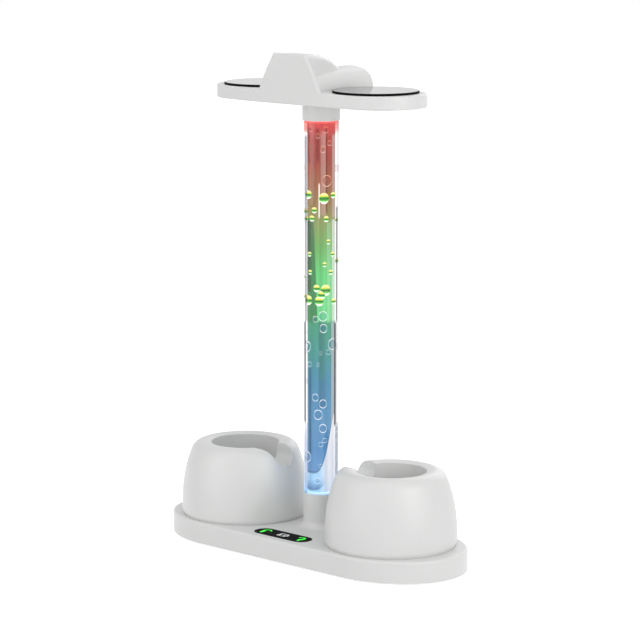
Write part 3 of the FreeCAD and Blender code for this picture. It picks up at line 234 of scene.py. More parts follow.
def airBubble(name, look):
    material, tree = newMaterial(name)
    place = addNode(tree, "ShaderNodeTexCoord").outputs["Object"]
    height = addNode(tree, "ShaderNodeSeparateXYZ", {0: place}).outputs[2]
    normal = addNode(tree, "ShaderNodeNewGeometry").outputs["Normal"]
    upright = addNode(tree, "ShaderNodeSeparateXYZ", {0: normal}).outputs[2]
    upward = addNode(tree, "ShaderNodeMapRange", {0: upright, 1: -1.0, 2: 1.0}).outputs[0]
    # painted glow, highlights and shade, by how far the surface faces up
    paintedBead, paintedCoolRim, paintedWarmRim = (addNode(tree, "ShaderNodeValToRGB", {0: upward}, look[key]).outputs[0]
                        for key in ("paintedBead", "paintedCoolRim", "paintedWarmRim"))
    aboveLow, aboveHigh = (addNode(tree, "ShaderNodeMapRange", {
        0: height, 1: (look[key] - look["meet"]) * mm, 2: (look[key] + look["meet"]) * mm}).outputs[0]
        for key in ("beadLow", "beadHigh"))
    beadZone = addNode(tree, "ShaderNodeMath", {0: aboveLow, 1: aboveHigh}, operation="SUBTRACT").outputs[0]
    paintedRim = addNode(tree, "ShaderNodeMix", {0: aboveHigh, 6: paintedCoolRim, 7: paintedWarmRim}, data_type="RGBA").outputs[2]
    inside = addNode(tree, "ShaderNodeMix", {
        0: aboveHigh, 6: hexColour(look["coolInside"]), 7: hexColour(look["warmInside"])}, data_type="RGBA")
    edge = addNode(tree, "ShaderNodeLayerWeight", {"Blend": 0.5}).outputs["Facing"]
    start, full = look["ringEdge"]
    outer = addNode(tree, "ShaderNodeMapRange", {0: edge, 1: start, 2: full}, interpolation_type="SMOOTHSTEP")
    ring = addNode(tree, "ShaderNodeMix", {0: outer.outputs[0], 6: inside.outputs[2], 7: paintedRim},
                   data_type="RGBA")
    colour = addNode(tree, "ShaderNodeMix", {0: beadZone, 6: ring.outputs[2], 7: paintedBead}, data_type="RGBA")
    start, full = look["foot"]
    foot = addNode(tree, "ShaderNodeMapRange", {0: upward, 1: start, 2: full},
                   interpolation_type="SMOOTHSTEP")
    # painted highlight: a bright crescent at the foot of each ring
    paintedCrescent = addNode(tree, "ShaderNodeMath", {0: outer.outputs[0], 1: foot.outputs[0]},
                       operation="MULTIPLY")
    start, full = look["skinEdge"]
    thinnest, thickest = look["skinAlpha"]
    thin = addNode(tree, "ShaderNodeMapRange", {0: edge, 1: start, 2: full, 3: thinnest, 4: thickest},
                   interpolation_type="SMOOTHSTEP")
    below, above = (addNode(tree, "ShaderNodeMapRange", {0: aboveHigh, 3: cold, 4: hot}).outputs[0]
                    for cold, hot in zip(look["coolHalves"], look["warmHalves"]))
    start, full = look["halves"]
    fainter = addNode(tree, "ShaderNodeMapRange", {0: upward, 1: start, 2: full, 3: below, 4: above})
    faint = addNode(tree, "ShaderNodeMath", {0: thin.outputs[0], 1: fainter.outputs[0]}, operation="MULTIPLY")
    clear = addNode(tree, "ShaderNodeMath", {0: paintedCrescent.outputs[0], 1: faint.outputs[0]},
                    operation="MAXIMUM")
    solid = addNode(tree, "ShaderNodeMapRange", {0: beadZone, 3: clear.outputs[0], 4: look["beadAlpha"]})
    shader = addNode(tree, "ShaderNodeBsdfPrincipled", {
        "Base Color": hexColour("#0c0c0c"), "Roughness": 0.05, "Specular IOR Level": 0.2,
        "Emission Color": colour.outputs[2], "Emission Strength": look["glow"], "Alpha": solid.outputs[0]})
    closeMaterial(tree, shader)
    return material


# Opal core with coloured lamps in it: bands of light, and at the foot a painted refraction, pale and clear,
# under a slanting lip; lengths in mm
coreGlow = {
    "stops": [(372, "#f07a78"), (366, "#e0605e"), (358, "#bc423e"), (338, "#aa4634"), (318, "#a6643f"),
              (297, "#a08a58"), (286, "#93a260"), (266, "#74b460"), (240, "#66d67c"), (214, "#70dc8a"),
              (202, "#6cd888"), (199.5, "#44a27e"), (172, "#429894"), (152, "#448eac"), (131, "#4e8eb8"),
              (110, "#5a92be"), (89, "#5a92c2"), (78, "#649aca"), (67, "#6a9acb"), (51, "#a8d2f6")],
    "low": 50, "high": 373, "spill": 3.5,  # the core lights its neighbours this much more than it shows
    "streakMm": 4, "streakAlong": 0.012, "streakNoise": (0.35, 0.65), "streakDepth": (0.8, 1.06),
    # painted refraction at the foot: pale blue to white below a slanting lip, with a painted dark line along
    # it
    "footLeft": "#b0defe", "footRight": "#f6f7fc", "footFade": (-0.35, 0.65), "footLow": 68.5,
    "footRise": 53.5, "footCurve": 3.3, "lipSoft": 0.7, "paintedLipLine": (0.3, 1.6), "paintedLipDark": 0.55,
    # painted reflection: a darker blue lens low on the left
    "lens": "#5c84b2", "lensAmount": 0.95, "lensLow": 53.2, "lensRise": 22, "lensCurve": 3.0,
    "lensUpper": (9, 0.2), "lensLower": (-0.5, 0.3), "lensFade": (0.35, -0.25),
    # stripes of painted reflection, highlight and shade, where the tube mirrors and bends its surroundings:
    # (from, to across the core, low, high in mm, slant across per mm, colour, amount)
    "paintedStripes": [(-0.06, 0.38, 292, 364, 0, "#d8aca2", 0.5), (0.42, 0.53, 294, 366, 0, "#6c241c", 0.75),
                (-0.5, -0.17, 338, 366, 0, "#781f20", 0.6), (-1.0, -0.9, 336, 366, 0, "#782826", 0.6),
                (0.9, 1.1, 290, 360, 0, "#d2bcb6", 0.65), (-0.25, -0.13, 290, 319, 0, "#fdfcfa", 1.0),
                (-1.1, -0.34, 200, 288, 0.004, "#1f6a38", 0.76), (-1.1, -0.86, 226, 288, 0, "#2c4a2a", 0.7),
                (0.5, 0.8, 200, 286, 0, "#b4f0b8", 0.4), (0.88, 1.1, 200, 288, 0, "#e6f0e4", 0.8),
                (-0.26, 0.34, 150, 200, 0, "#2e7470", 0.65), (-0.26, 0.34, 126, 150, 0, "#30698c", 0.65),
                (-0.98, -0.85, 84, 160, 0, "#225a7e", 0.75), (0.84, 1.1, 100, 200, 0, "#b4c0c4", 0.85)],
    "stripeSoft": 0.02, "stripeEnd": 1.5,
}


def litCore(name, look):
    material, tree = newMaterial(name)
    place = addNode(tree, "ShaderNodeTexCoord").outputs["Object"]
    height = addNode(tree, "ShaderNodeSeparateXYZ", {0: place}).outputs[2]
    low, high = look["low"], look["high"]
    along = addNode(tree, "ShaderNodeMapRange", {0: height, 1: low * mm, 2: high * mm})
    ramp = addNode(tree, "ShaderNodeValToRGB", {0: along.outputs[0]},
                   [((level - low) / (high - low), colour) for level, colour in sorted(look["stops"])])
    facing = addNode(tree, "ShaderNodeNewGeometry").outputs["Normal"]
    turned = addNode(tree, "ShaderNodeVectorMath", {0: facing, 1: viewRight}, operation="DOT_PRODUCT")
    across = turned.outputs["Value"]
    half = addNode(tree, "ShaderNodeMapRange", {0: across, 1: -1.0, 2: 1.0})
    curve = addNode(tree, "ShaderNodeMath", {0: half.outputs[0], 1: look["footCurve"]}, operation="POWER")
    lip = addNode(tree, "ShaderNodeMapRange", {
        0: curve.outputs[0], 3: look["footLow"] * mm, 4: (look["footLow"] + look["footRise"]) * mm})
    above = addNode(tree, "ShaderNodeMath", {0: height, 1: lip.outputs[0]}, operation="SUBTRACT")
    body = addNode(tree, "ShaderNodeMapRange", {
        0: above.outputs[0], 1: -look["lipSoft"] * mm, 2: look["lipSoft"] * mm},
        interpolation_type="SMOOTHSTEP")
    lit = ramp.outputs[0]
    soft, end = look["stripeSoft"], look["stripeEnd"]
    # painted reflections, highlights and shade laid over the core's colour in stripes
    for start, stop, bottom, top, slant, paintedColour, amount in look["paintedStripes"]:
        shift = addNode(tree, "ShaderNodeMath", {0: height, 1: bottom * mm}, operation="SUBTRACT")
        leant = addNode(tree, "ShaderNodeMath", {0: shift.outputs[0], 1: slant / mm, 2: across},
                        operation="MULTIPLY_ADD")
        share = amount
        for value, none, full in ((across, start - soft, start + soft),
                                  (leant.outputs[0], stop + soft, stop - soft),
                                  (height, (bottom - end) * mm, (bottom + end) * mm),
                                  (height, (top + end) * mm, (top - end) * mm)):
            step = addNode(tree, "ShaderNodeMapRange", {0: value, 1: none, 2: full},
                           interpolation_type="SMOOTHSTEP").outputs[0]
            share = addNode(tree, "ShaderNodeMath", {0: step, 1: share}, operation="MULTIPLY").outputs[0]
        toned = addNode(tree, "ShaderNodeMix", {0: share, 6: lit, 7: hexColour(paintedColour)}, data_type="RGBA")
        lit = toned.outputs[2]
    # painted refraction: the foot's pale blue to white
    none, full = look["footFade"]
    fade = addNode(tree, "ShaderNodeMapRange", {0: across, 1: none, 2: full}, interpolation_type="SMOOTHSTEP")
    foot = addNode(tree, "ShaderNodeMix", {
        0: fade.outputs[0], 6: hexColour(look["footLeft"]), 7: hexColour(look["footRight"])},
        data_type="RGBA")
    # a painted reflection: a second, smaller lens low on the left, where the core is mirrored once more
    bend = addNode(tree, "ShaderNodeMath", {0: half.outputs[0], 1: look["lensCurve"]}, operation="POWER")
    rise = addNode(tree, "ShaderNodeMath", {
        0: bend.outputs[0], 1: look["lensRise"] * mm, 2: look["lensLow"] * mm}, operation="MULTIPLY_ADD")
    lensUp = addNode(tree, "ShaderNodeMath", {0: height, 1: rise.outputs[0]}, operation="SUBTRACT").outputs[0]
    dark = look["lensAmount"]
    for value, key, unit in ((lensUp, "lensUpper", mm), (lensUp, "lensLower", mm), (across, "lensFade", 1)):
        none, full = look[key]
        step = addNode(tree, "ShaderNodeMapRange", {0: value, 1: none * unit, 2: full * unit}).outputs[0]
        dark = addNode(tree, "ShaderNodeMath", {0: step, 1: dark}, operation="MULTIPLY").outputs[0]
    lens = addNode(tree, "ShaderNodeMix", {0: dark, 6: foot.outputs[2], 7: hexColour(look["lens"])},
                   data_type="RGBA")
    colour = addNode(tree, "ShaderNodeMix", {0: body.outputs[0], 6: lens.outputs[2], 7: lit},
                     data_type="RGBA")
    # painted dark line along the lip
    distance = addNode(tree, "ShaderNodeMath", {0: above.outputs[0]}, operation="ABSOLUTE")
    none, full = look["paintedLipLine"]
    paintedLipLine = addNode(tree, "ShaderNodeMapRange", {
        0: distance.outputs[0], 1: none * mm, 2: full * mm, 3: look["paintedLipDark"], 4: 1.0},
        interpolation_type="SMOOTHSTEP")
    edged = addNode(tree, "ShaderNodeMix", {0: 1.0, 6: colour.outputs[2], 7: paintedLipLine.outputs[0]},
                    data_type="RGBA", blend_type="MULTIPLY")
    stretch = addNode(tree, "ShaderNodeMapping", {"Vector": place, "Scale": (1.0, 1.0, look["streakAlong"])})
    streak = addNode(tree, "ShaderNodeTexNoise", {
        "Vector": stretch.outputs[0], "Scale": 1 / (look["streakMm"] * mm), "Detail": 2.0})
    weak, strong = look["streakNoise"]
    dull, bright = look["streakDepth"]
    depth = addNode(tree, "ShaderNodeMapRange", {
        0: streak.outputs[0], 1: weak, 2: strong, 3: dull, 4: bright})
    shaded = addNode(tree, "ShaderNodeMix", {0: 1.0, 6: edged.outputs[2], 7: depth.outputs[0]},
                     data_type="RGBA", blend_type="MULTIPLY")
    path = addNode(tree, "ShaderNodeLightPath")
    spill = addNode(tree, "ShaderNodeMapRange", {0: path.outputs["Is Diffuse Ray"], 3: 1.0, 4: look["spill"]})
    shader = addNode(tree, "ShaderNodeBsdfPrincipled", {
        "Base Color": hexColour("#141618"), "Roughness": 0.5, "Specular IOR Level": 0.0,
        "Emission Color": shaded.outputs[2], "Emission Strength": spill.outputs[0]})
    closeMaterial(tree, shader)
    return material


# Polished black acrylic: deep black with a clear, slightly smeared gloss
blackLook = {"colour": "#0a0a0b", "smearMm": 18, "rough": (0.05, 0.12)}


def pianoBlack(name, look):
    material, tree = newMaterial(name)
    place = addNode(tree, "ShaderNodeTexCoord").outputs["Object"]
    smear = addNode(tree, "ShaderNodeTexNoise", {
        "Vector": place, "Scale": 1 / (look["smearMm"] * mm), "Detail": 4.0})
    smooth, smeared = look["rough"]
    gloss = addNode(tree, "ShaderNodeMapRange", {
        0: smear.outputs[0], 1: noiseLow, 2: noiseHigh, 3: smooth, 4: smeared})
    shader = addNode(tree, "ShaderNodeBsdfPrincipled", {
        "Base Color": hexColour(look["colour"]), "Roughness": gloss.outputs[0], "IOR": 1.5,
        "Coat Weight": 0.4, "Coat Roughness": 0.03, "Coat IOR": 1.5})
    closeMaterial(tree, shader)
    return material


# Smoked film with a matt coat: the panel and the pads' rims stay black at a low angle
filmLook = {"colour": "#060607", "shade": "#0c0c0d", "grainMm": 1.2}


def smokedFilm(name, look):
    material, tree = newMaterial(name)
    place = addNode(tree, "ShaderNodeTexCoord").outputs["Object"]
    grain = addNode(tree, "ShaderNodeTexNoise", {
        "Vector": place, "Scale": 1 / (look["grainMm"] * mm), "Detail": 2.0})
    tint = addNode(tree, "ShaderNodeMix", {
        0: grain.outputs[0], 6: hexColour(look["colour"]), 7: hexColour(look["shade"])}, data_type="RGBA")
    shader = addNode(tree, "ShaderNodeBsdfPrincipled", {
        "Base Color": tint.outputs[2], "Roughness": 0.55, "Specular IOR Level": 0.03})
    closeMaterial(tree, shader)
    return material


# Plain grained finishes, such as rubber, nylon, vinyl and plated metal: two close colours and a fine grain
def grained(name, colour, shade, rough, grainMm, strength, metallic=0.0):
    material, tree = newMaterial(name)
    uneven, grainDeepMm = 0.06, 0.05
    place = addNode(tree, "ShaderNodeTexCoord").outputs["Object"]
    grain = addNode(tree, "ShaderNodeTexNoise", {"Vector": place, "Scale": 1 / (grainMm * mm), "Detail": 3.0})
    tint = addNode(tree, "ShaderNodeMix", {0: grain.outputs[0], 6: hexColour(colour), 7: hexColour(shade)},
                   data_type="RGBA")
    gloss = addNode(tree, "ShaderNodeMapRange", {
        0: grain.outputs[0], 1: noiseLow, 2: noiseHigh, 3: rough - uneven, 4: rough + uneven})
    bump = addNode(tree, "ShaderNodeBump", {
        "Height": grain.outputs[0], "Strength": strength, "Distance": grainDeepMm * mm})
    shader = addNode(tree, "ShaderNodeBsdfPrincipled", {
        "Base Color": tint.outputs[2], "Roughness": gloss.outputs[0], "Metallic": metallic,
        "Normal": bump.outputs[0]})
    closeMaterial(tree, shader)
    return material


# Lamps behind the panel's symbols and in the tube's ends: even, saturated light
def litSymbol(name, colour, strength):
    material, tree = newMaterial(name)
    shader = addNode(tree, "ShaderNodeBsdfPrincipled", {
        "Base Color": hexColour(colour), "Roughness": 0.3, "Emission Color": hexColour(colour),
        "Emission Strength": strength})
    closeMaterial(tree, shader)
    return material


acrylic = castAcrylic("castAcrylic", acrylicLook)
gel = clearGel("opticalGel")
bubbleSkin = airBubble("bubbleAir", bubbleLook)
coreLight = litCore("litOpalCore", coreGlow)
blackAcrylic = pianoBlack("pianoBlackAcrylic", blackLook)
rimBlack = smokedFilm("mattBlackRim", filmLook)
finishes = {
    "white_shell": mouldedAbs("whiteMouldedAbs", absShell),
    "clear_acrylic": acrylic,
    "milky_diffuser": coreLight,
    "black_gloss": blackAcrylic,
    "foot_rubber": grained("footRubber", "#1d1d1e", "#262627", 0.75, 0.9, 0.25),
    "ballast_steel": grained("rolledSteel", "#8d8f91", "#7c7f82", 0.42, 2.5, 0.1, 1.0),
    "screw_steel": grained("zincPlatedSteel", "#a6a8aa", "#96999c", 0.34, 0.7, 0.08, 1.0),
    "contact_housing": grained("blackNylon", "#141415", "#1c1c1d", 0.5, 0.5, 0.12),
    "circuit_board": grained("solderMask", "#0f5a2c", "#0b4a24", 0.38, 1.6, 0.1),
    "contact_gold": grained("goldPlate", "#e0b050", "#d3a244", 0.22, 0.6, 0.05, 1.0),
    "spring_steel": grained("springWire", "#b0b1b3", "#9d9fa2", 0.3, 0.4, 0.06, 1.0),
    "socket_metal": grained("platedSocket", "#b4b6b8", "#a5a8ab", 0.28, 0.6, 0.05, 1.0),
    "chip_plastic": grained("chipEpoxy", "#18181a", "#202022", 0.6, 0.4, 0.2),
    "connector_plastic": grained("creamNylon", "#dcd6c2", "#d2ccb6", 0.48, 0.6, 0.1),
    "lead_jacket": grained("softVinyl", "#161617", "#1e1e1f", 0.55, 0.7, 0.12),
    "lamp_lens": grained("lampResin", "#f2e9b8", "#e8dc9c", 0.2, 0.8, 0.03),
}
slotOf = {part["node"]: part["material_slot"] for part in frame["record"]["subparts"]}
for name, node in nodes.items():
    node.data.materials.clear()
    node.data.materials.append(finishes[slotOf[name]])
nodes["indicator_panel"].data.materials[0] = smokedFilm("smokedFilm", filmLook)
print("finishes on CAD nodes:", len(finishes))


def linkMesh(name, mesh, materials):
    piece = bpy.data.objects.new(name, mesh)
    bpy.context.scene.collection.objects.link(piece)
    for material in materials:
        mesh.materials.append(material)
    return piece


# Turns (radius, height) points about an upright axis; each point also says which material its band takes
def lathe(name, profile, segments, centre, materials, closed=True):
    sharpDegrees = 35
    bm = bmesh.new()
    rings = []
    for radius, height, _ in profile:
        ring = []
        for step in range(segments):
            turn = 2 * math.pi * step / segments
            spot = (centre[0] + radius * math.cos(turn), centre[1] + radius * math.sin(turn), height)
            ring.append(bm.verts.new([value * mm for value in spot]))
        rings.append(ring)
    pairs = list(zip(rings, rings[1:], profile))
    if closed:
        pairs.append((rings[-1], rings[0], profile[-1]))
    for lower, upper, (_, _, band) in pairs:
        for step in range(segments):
            after = (step + 1) % segments
            face = bm.faces.new((lower[step], lower[after], upper[after], upper[step]))
            face.material_index = band
            face.smooth = True
    bmesh.ops.remove_doubles(bm, verts=bm.verts, dist=1e-7)
    bmesh.ops.recalc_face_normals(bm, faces=bm.faces)
    mesh = bpy.data.meshes.new(name)
    bm.to_mesh(mesh)
    bm.free()
    mesh.set_sharp_from_angle(angle=math.radians(sharpDegrees))
    return linkMesh(name, mesh, materials)


# Centre, radius, bottom and top of a round upright node, in mm
def roundNode(node):
    low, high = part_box(node)
    centre = ((low.x + high.x) / 2 / mm, (low.y + high.y) / 2 / mm)
    return centre, (high.x - low.x) / 2 / mm, low.z / mm, high.z / mm


def finishPiece(piece, body, slot, *replaced):
    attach(piece, body)
    if replaced:
        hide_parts(*replaced)


# Column: polished tube with softened ends, the lit core that fills its bore, and a light ring in each end
tubeLow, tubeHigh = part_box("bubble_tube")
column = {"axis": (0.0, 6.0), "outer": 15.0, "bore": 8.0, "low": tubeLow.z / mm, "high": tubeHigh.z / mm,
          "chamfer": 0.4, "segments": 160, "coreRadius": 7.95, "coreInner": 6.9, "coreSegments": 96,
          "endGap": 0.1, "glowInset": 0.4, "glowHeight": 1.4, "glowStrength": 0.7, "footGlow": "#cfe4f6",
          "headGlow": "#f49a94"}


def makeTube(sizes):
    low, high, cut = sizes["low"], sizes["high"], sizes["chamfer"]
    profile = [(sizes["bore"], low, 0), (sizes["outer"] - cut, low, 0), (sizes["outer"], low + cut, 0),
               (sizes["outer"], high - cut, 0), (sizes["outer"] - cut, high, 0), (sizes["bore"], high, 1)]
    tube = lathe("acrylicTube", profile, sizes["segments"], sizes["axis"], [acrylic, gel])
    finishPiece(tube, "dock", "clear_acrylic", "bubble_tube")


def squareRing(name, inner, outer, low, high, material, sizes):
    profile = [(inner, low, 0), (outer, low, 0), (outer, high, 0), (inner, high, 0)]
    return lathe(name, profile, sizes["coreSegments"], sizes["axis"], [material])


def makeCore(sizes):
    core = squareRing("opalCore", sizes["coreInner"], sizes["coreRadius"], sizes["low"] + sizes["endGap"],
                      sizes["high"] - sizes["endGap"], coreLight, sizes)
    finishPiece(core, "dock", "milky_diffuser", "light_diffuser")


def makeGlowRing(name, low, colour, sizes):
    light = litSymbol(name + "Light", colour, sizes["glowStrength"])
    ring = squareRing(name, sizes["bore"] + sizes["glowInset"], sizes["outer"] - sizes["glowInset"], low,
                      low + sizes["glowHeight"], light, sizes)
    finishPiece(ring, "dock", "milky_diffuser")


makeTube(column)
makeCore(column)
footRing = column["low"] + column["endGap"]
headRing = column["high"] - column["endGap"] - column["glowHeight"]
makeGlowRing("footGlowRing", footRing, column["footGlow"], column)
makeGlowRing("headGlowRing", headRing, column["headGlow"], column)
print("column made")


# A tree that sets one shape on points: its inputs are the points, the named sizes and counts, and a skin
def newTree(name, sizes=(), counts=()):
    tree = bpy.data.node_groups.new(name, "GeometryNodeTree")
    face = tree.interface
    face.new_socket("Geometry", in_out="INPUT", socket_type="NodeSocketGeometry")
    for kind, keys in (("Float", sizes), ("Int", counts), ("Material", ("Skin",))):
        for key in keys:
            face.new_socket(key, in_out="INPUT", socket_type="NodeSocket" + kind)
    face.new_socket("Geometry", in_out="OUTPUT", socket_type="NodeSocketGeometry")
    return tree, addNode(tree, "NodeGroupInput").outputs


def setOnPoints(tree, given, shape, **placing):
    placed = addNode(tree, "GeometryNodeInstanceOnPoints", {
        "Points": given["Geometry"], "Instance": shape, **placing})
    real = addNode(tree, "GeometryNodeRealizeInstances", {"Geometry": placed.outputs[0]})
    skin = addNode(tree, "GeometryNodeSetMaterial", {"Geometry": real.outputs[0], "Material": given["Skin"]})
    addNode(tree, "NodeGroupOutput", {"Geometry": skin.outputs[0]})


# The tree's result as a plain mesh with no modifier
def runTree(name, mesh, tree, values):
    carrier = bpy.data.objects.new(name + "Points", mesh)
    bpy.context.scene.collection.objects.link(carrier)
    modifier = carrier.modifiers.new(tree.name, "NODES")
    modifier.node_group = tree
    for item in tree.interface.items_tree:
        if item.item_type == "SOCKET" and item.in_out == "INPUT" and item.name in values:
            modifier[item.identifier] = values[item.name]
    bpy.context.view_layer.update()
    seen = carrier.evaluated_get(bpy.context.evaluated_depsgraph_get())
    made = bpy.data.meshes.new_from_object(seen)
    bpy.data.objects.remove(carrier)
    made.name = name
    piece = bpy.data.objects.new(name, made)
    bpy.context.scene.collection.objects.link(piece)
    return piece


# Bubbles: (across the column, height, radius), all in mm, where the front shows them, and seeded ones behind
bubbles = {
    "front": [(-9.5, 364, 2), (4, 363, 2.5), (-3, 358, 2), (7.5, 352, 2), (1.5, 346.5, 2.5), (5, 320, 4.5),
              (-11.5, 308.5, 3.5), (2.5, 305, 4.5), (10.5, 308, 2.5), (-6.5, 295, 2.5), (-13, 288, 2.5),
              (-8.5, 288, 2.5), (4.5, 287.5, 2.5), (13.5, 287, 2), (6.5, 268, 2), (-10.5, 257.5, 2),
              (10, 257.5, 2), (3, 248.5, 2), (-10, 242, 2), (8.5, 242, 2), (-4.5, 228, 3), (4, 226.5, 4.5),
              (0.5, 222.5, 3.5), (-11.5, 218, 4), (-2, 217, 4), (11, 217, 2.5), (1.5, 204, 4),
              (-5.5, 201.5, 2.5), (2, 193.5, 3.5), (-12.5, 178, 4.5), (10, 180, 4.5), (-1, 172, 1.5),
              (6.5, 173, 2), (-10.5, 162.5, 2), (-3, 162, 1.5), (-5.5, 133.5, 3), (1.5, 128, 3.5),
              (-3, 118.5, 4), (1.5, 106.5, 3.5), (3, 96, 2), (-0.5, 92.5, 2), (-12.5, 81.5, 4.5),
              (-1, 73.5, 1.5), (-3.5, 60.5, 2.5)],
    "widened": 1.18, "furthest": 0.97, "lift": 1.8,  # the round tube spreads and raises what is inside it
    "behind": 34, "seed": 7, "turns": (0.6, 1.4), "radii": (1.0, 3.0), "heights": (58.0, 366.0),
    "orbit": 11.4, "wide": 0.86, "tall": 1.08, "deepest": 3.1, "segments": 28,
}


def bubbleTree():
    tree, given = newTree("columnBubbles", counts=("Segments",))
    size, turn = (addNode(tree, "GeometryNodeInputNamedAttribute", {"Name": key}, data_type="FLOAT_VECTOR")
                  for key in ("bubbleSize", "bubbleTurn"))
    rings = addNode(tree, "ShaderNodeMath", {0: given["Segments"], 1: 0.5}, operation="MULTIPLY")
    ball = addNode(tree, "GeometryNodeMeshUVSphere", {
        "Segments": given["Segments"], "Rings": rings.outputs[0], "Radius": 1.0})
    smooth = addNode(tree, "GeometryNodeSetShadeSmooth", {"Geometry": ball.outputs["Mesh"]})
    setOnPoints(tree, given, smooth.outputs["Geometry"], Rotation=turn.outputs[0], Scale=size.outputs[0])
    return tree


def makeBubbles(sizes):
    pick = random.Random(sizes["seed"])
    orbit, furthest, (axisX, axisY) = sizes["orbit"], sizes["furthest"], column["axis"]
    spots = []
    for across, height, radius in sizes["front"]:
        turn = math.asin(max(-furthest, min(furthest, across / (orbit * sizes["widened"]))))
        spots.append((turn, height + sizes["lift"] * math.cos(turn), radius))
    for _ in range(sizes["behind"]):
        spots.append((pick.uniform(*sizes["turns"]) * math.pi, pick.uniform(*sizes["heights"]),
                      pick.uniform(*sizes["radii"])))
    mesh = bpy.data.meshes.new("bubbleSpots")
    points = []
    for turn, height, _ in spots:
        out, side = orbit * math.cos(turn), orbit * math.sin(turn)
        points.append(((axisX + viewFront[0] * out + viewRight[0] * side) * mm,
                       (axisY + viewFront[1] * out + viewRight[1] * side) * mm, height * mm))
    mesh.from_pydata(points, [], [])
    sizesAt = mesh.attributes.new("bubbleSize", "FLOAT_VECTOR", "POINT")  # outwards, across and up
    turnsAt = mesh.attributes.new("bubbleTurn", "FLOAT_VECTOR", "POINT")
    front = math.atan2(viewFront[1], viewFront[0])
    for index, (turn, _, radius) in enumerate(spots):
        wide = radius * sizes["wide"]
        extents = (min(wide, sizes["deepest"]), wide, radius * sizes["tall"])
        sizesAt.data[index].vector = [value * mm for value in extents]
        turnsAt.data[index].vector = (0.0, 0.0, front + turn)
    piece = runTree("columnBubbles", mesh, bubbleTree(), {"Segments": sizes["segments"], "Skin": bubbleSkin})
    finishPiece(piece, "dock", "clear_acrylic")


makeBubbles(bubbles)
print("bubbles made")


# Symbols in the indicator panel: two hand controllers and a battery, as thin lit plates
symbols = {
    "centre": (0.0, -42.0), "level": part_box("indicator_panel")[1].z / mm, "sunk": 0.01, "proud": 0.06,
    "spread": 20.6, "controllerGreen": "#10e020", "greenStrength": 0.9,
    "grip": [(-1.2, -4.6), (-1.0, -2.6), (-1.6, -0.4), (-2.4, 1.6)], "gripWidths": [2.4, 3.0, 3.0, 2.0],
    "ringFrom": (-2.4, 1.8), "ringReach": (3.3, 3.0), "ringSteps": 12, "ringWidth": 1.7, "ringTaper": 0.06,
    "batteryWhite": "#f2f4f4", "whiteStrength": 0.75, "halfWidth": 4.6, "halfDepth": 3.4, "line": 0.4,
    "cap": (0.4, 1.2), "capHalf": 1.1, "bars": (-3.2, 1.4), "barWidth": 0.7, "barHalf": 2.0,
}


def flatPlate(name, outlines, sizes, material):
    bm = bmesh.new()
    bottom, top = sizes["level"] - sizes["sunk"], sizes["level"] + sizes["proud"]
    for outline in outlines:
        low, high = ([bm.verts.new((x * mm, y * mm, level * mm)) for x, y in outline]
                     for level in (bottom, top))
        bm.faces.new(high)
        bm.faces.new(list(reversed(low)))
        for index in range(len(outline)):
            after = (index + 1) % len(outline)
            bm.faces.new((low[index], low[after], high[after], high[index]))
    bmesh.ops.recalc_face_normals(bm, faces=bm.faces)
    mesh = bpy.data.meshes.new(name)
    bm.to_mesh(mesh)
    bm.free()
    return linkMesh(name, mesh, [material])


# A stroke of changing width along points, with round ends, as one closed outline
def stroke(points, widths):
    left, right = [], []
    for index, (x, y) in enumerate(points):
        ahead = points[min(index + 1, len(points) - 1)]
        behind = points[max(index - 1, 0)]
        way = Vector((ahead[0] - behind[0], ahead[1] - behind[1])).normalized()
        half = widths[index] / 2
        left.append((x - way.y * half, y + way.x * half))
        right.append((x + way.y * half, y - way.x * half))

    def cap(centre, start, half):
        base = math.atan2(start[1] - centre[1], start[0] - centre[0])
        return [(centre[0] + half * math.cos(base - turn), centre[1] + half * math.sin(base - turn))
                for turn in (math.pi * k / 8 for k in range(1, 8))]

    farEnd = cap(points[-1], left[-1], widths[-1] / 2)
    nearEnd = cap(points[0], right[0], widths[0] / 2)
    return left + farEnd + right[::-1] + nearEnd


def controllerShape(sizes, side):
    cx, cy = sizes["centre"]
    (fromX, fromY), (wide, deep), steps = sizes["ringFrom"], sizes["ringReach"], sizes["ringSteps"]
    turns = [math.pi * k / steps for k in range(1, steps)]
    ring = [(fromX + wide * (1 - math.cos(turn)), fromY + deep * math.sin(turn)) for turn in turns]
    ringWidths = [sizes["ringWidth"] - sizes["ringTaper"] * k for k in range(len(ring))]
    shapes = [stroke(sizes["grip"], sizes["gripWidths"]), stroke(ring, ringWidths)]
    return [[(cx - side * (sizes["spread"] - x), cy + y) for x, y in shape] for shape in shapes]


# Battery: four sides of an outline, a cap and two bars, all as boxes
def batteryShape(sizes):
    cx, cy = sizes["centre"]
    wide, deep, line = sizes["halfWidth"], sizes["halfDepth"], sizes["line"]
    capStart, capEnd = sizes["cap"]
    boxes = [(-wide, -deep, wide, line - deep), (-wide, deep - line, wide, deep),
             (-wide, line - deep, line - wide, deep - line), (wide - line, line - deep, wide, deep - line),
             (wide + capStart, -sizes["capHalf"], wide + capEnd, sizes["capHalf"])]
    for start in sizes["bars"]:
        boxes.append((start, -sizes["barHalf"], start + sizes["barWidth"], sizes["barHalf"]))
    return [[(cx + x, cy + y) for x, y in ((x0, y0), (x1, y0), (x1, y1), (x0, y1))]
            for x0, y0, x1, y1 in boxes]


green = litSymbol("greenLamp", symbols["controllerGreen"], symbols["greenStrength"])
white = litSymbol("whiteLamp", symbols["batteryWhite"], symbols["whiteStrength"])
bothControllers = controllerShape(symbols, 1) + controllerShape(symbols, -1)
finishPiece(flatPlate("controllerSymbols", bothControllers, symbols, green), "dock", "lamp_lens")
finishPiece(flatPlate("batterySymbol", batteryShape(symbols), symbols, white), "dock", "lamp_lens")
print("panel symbols made")


# Rest pads: a polished black disc with a matt rim
pads = {"soften": 0.35, "segments": 128}


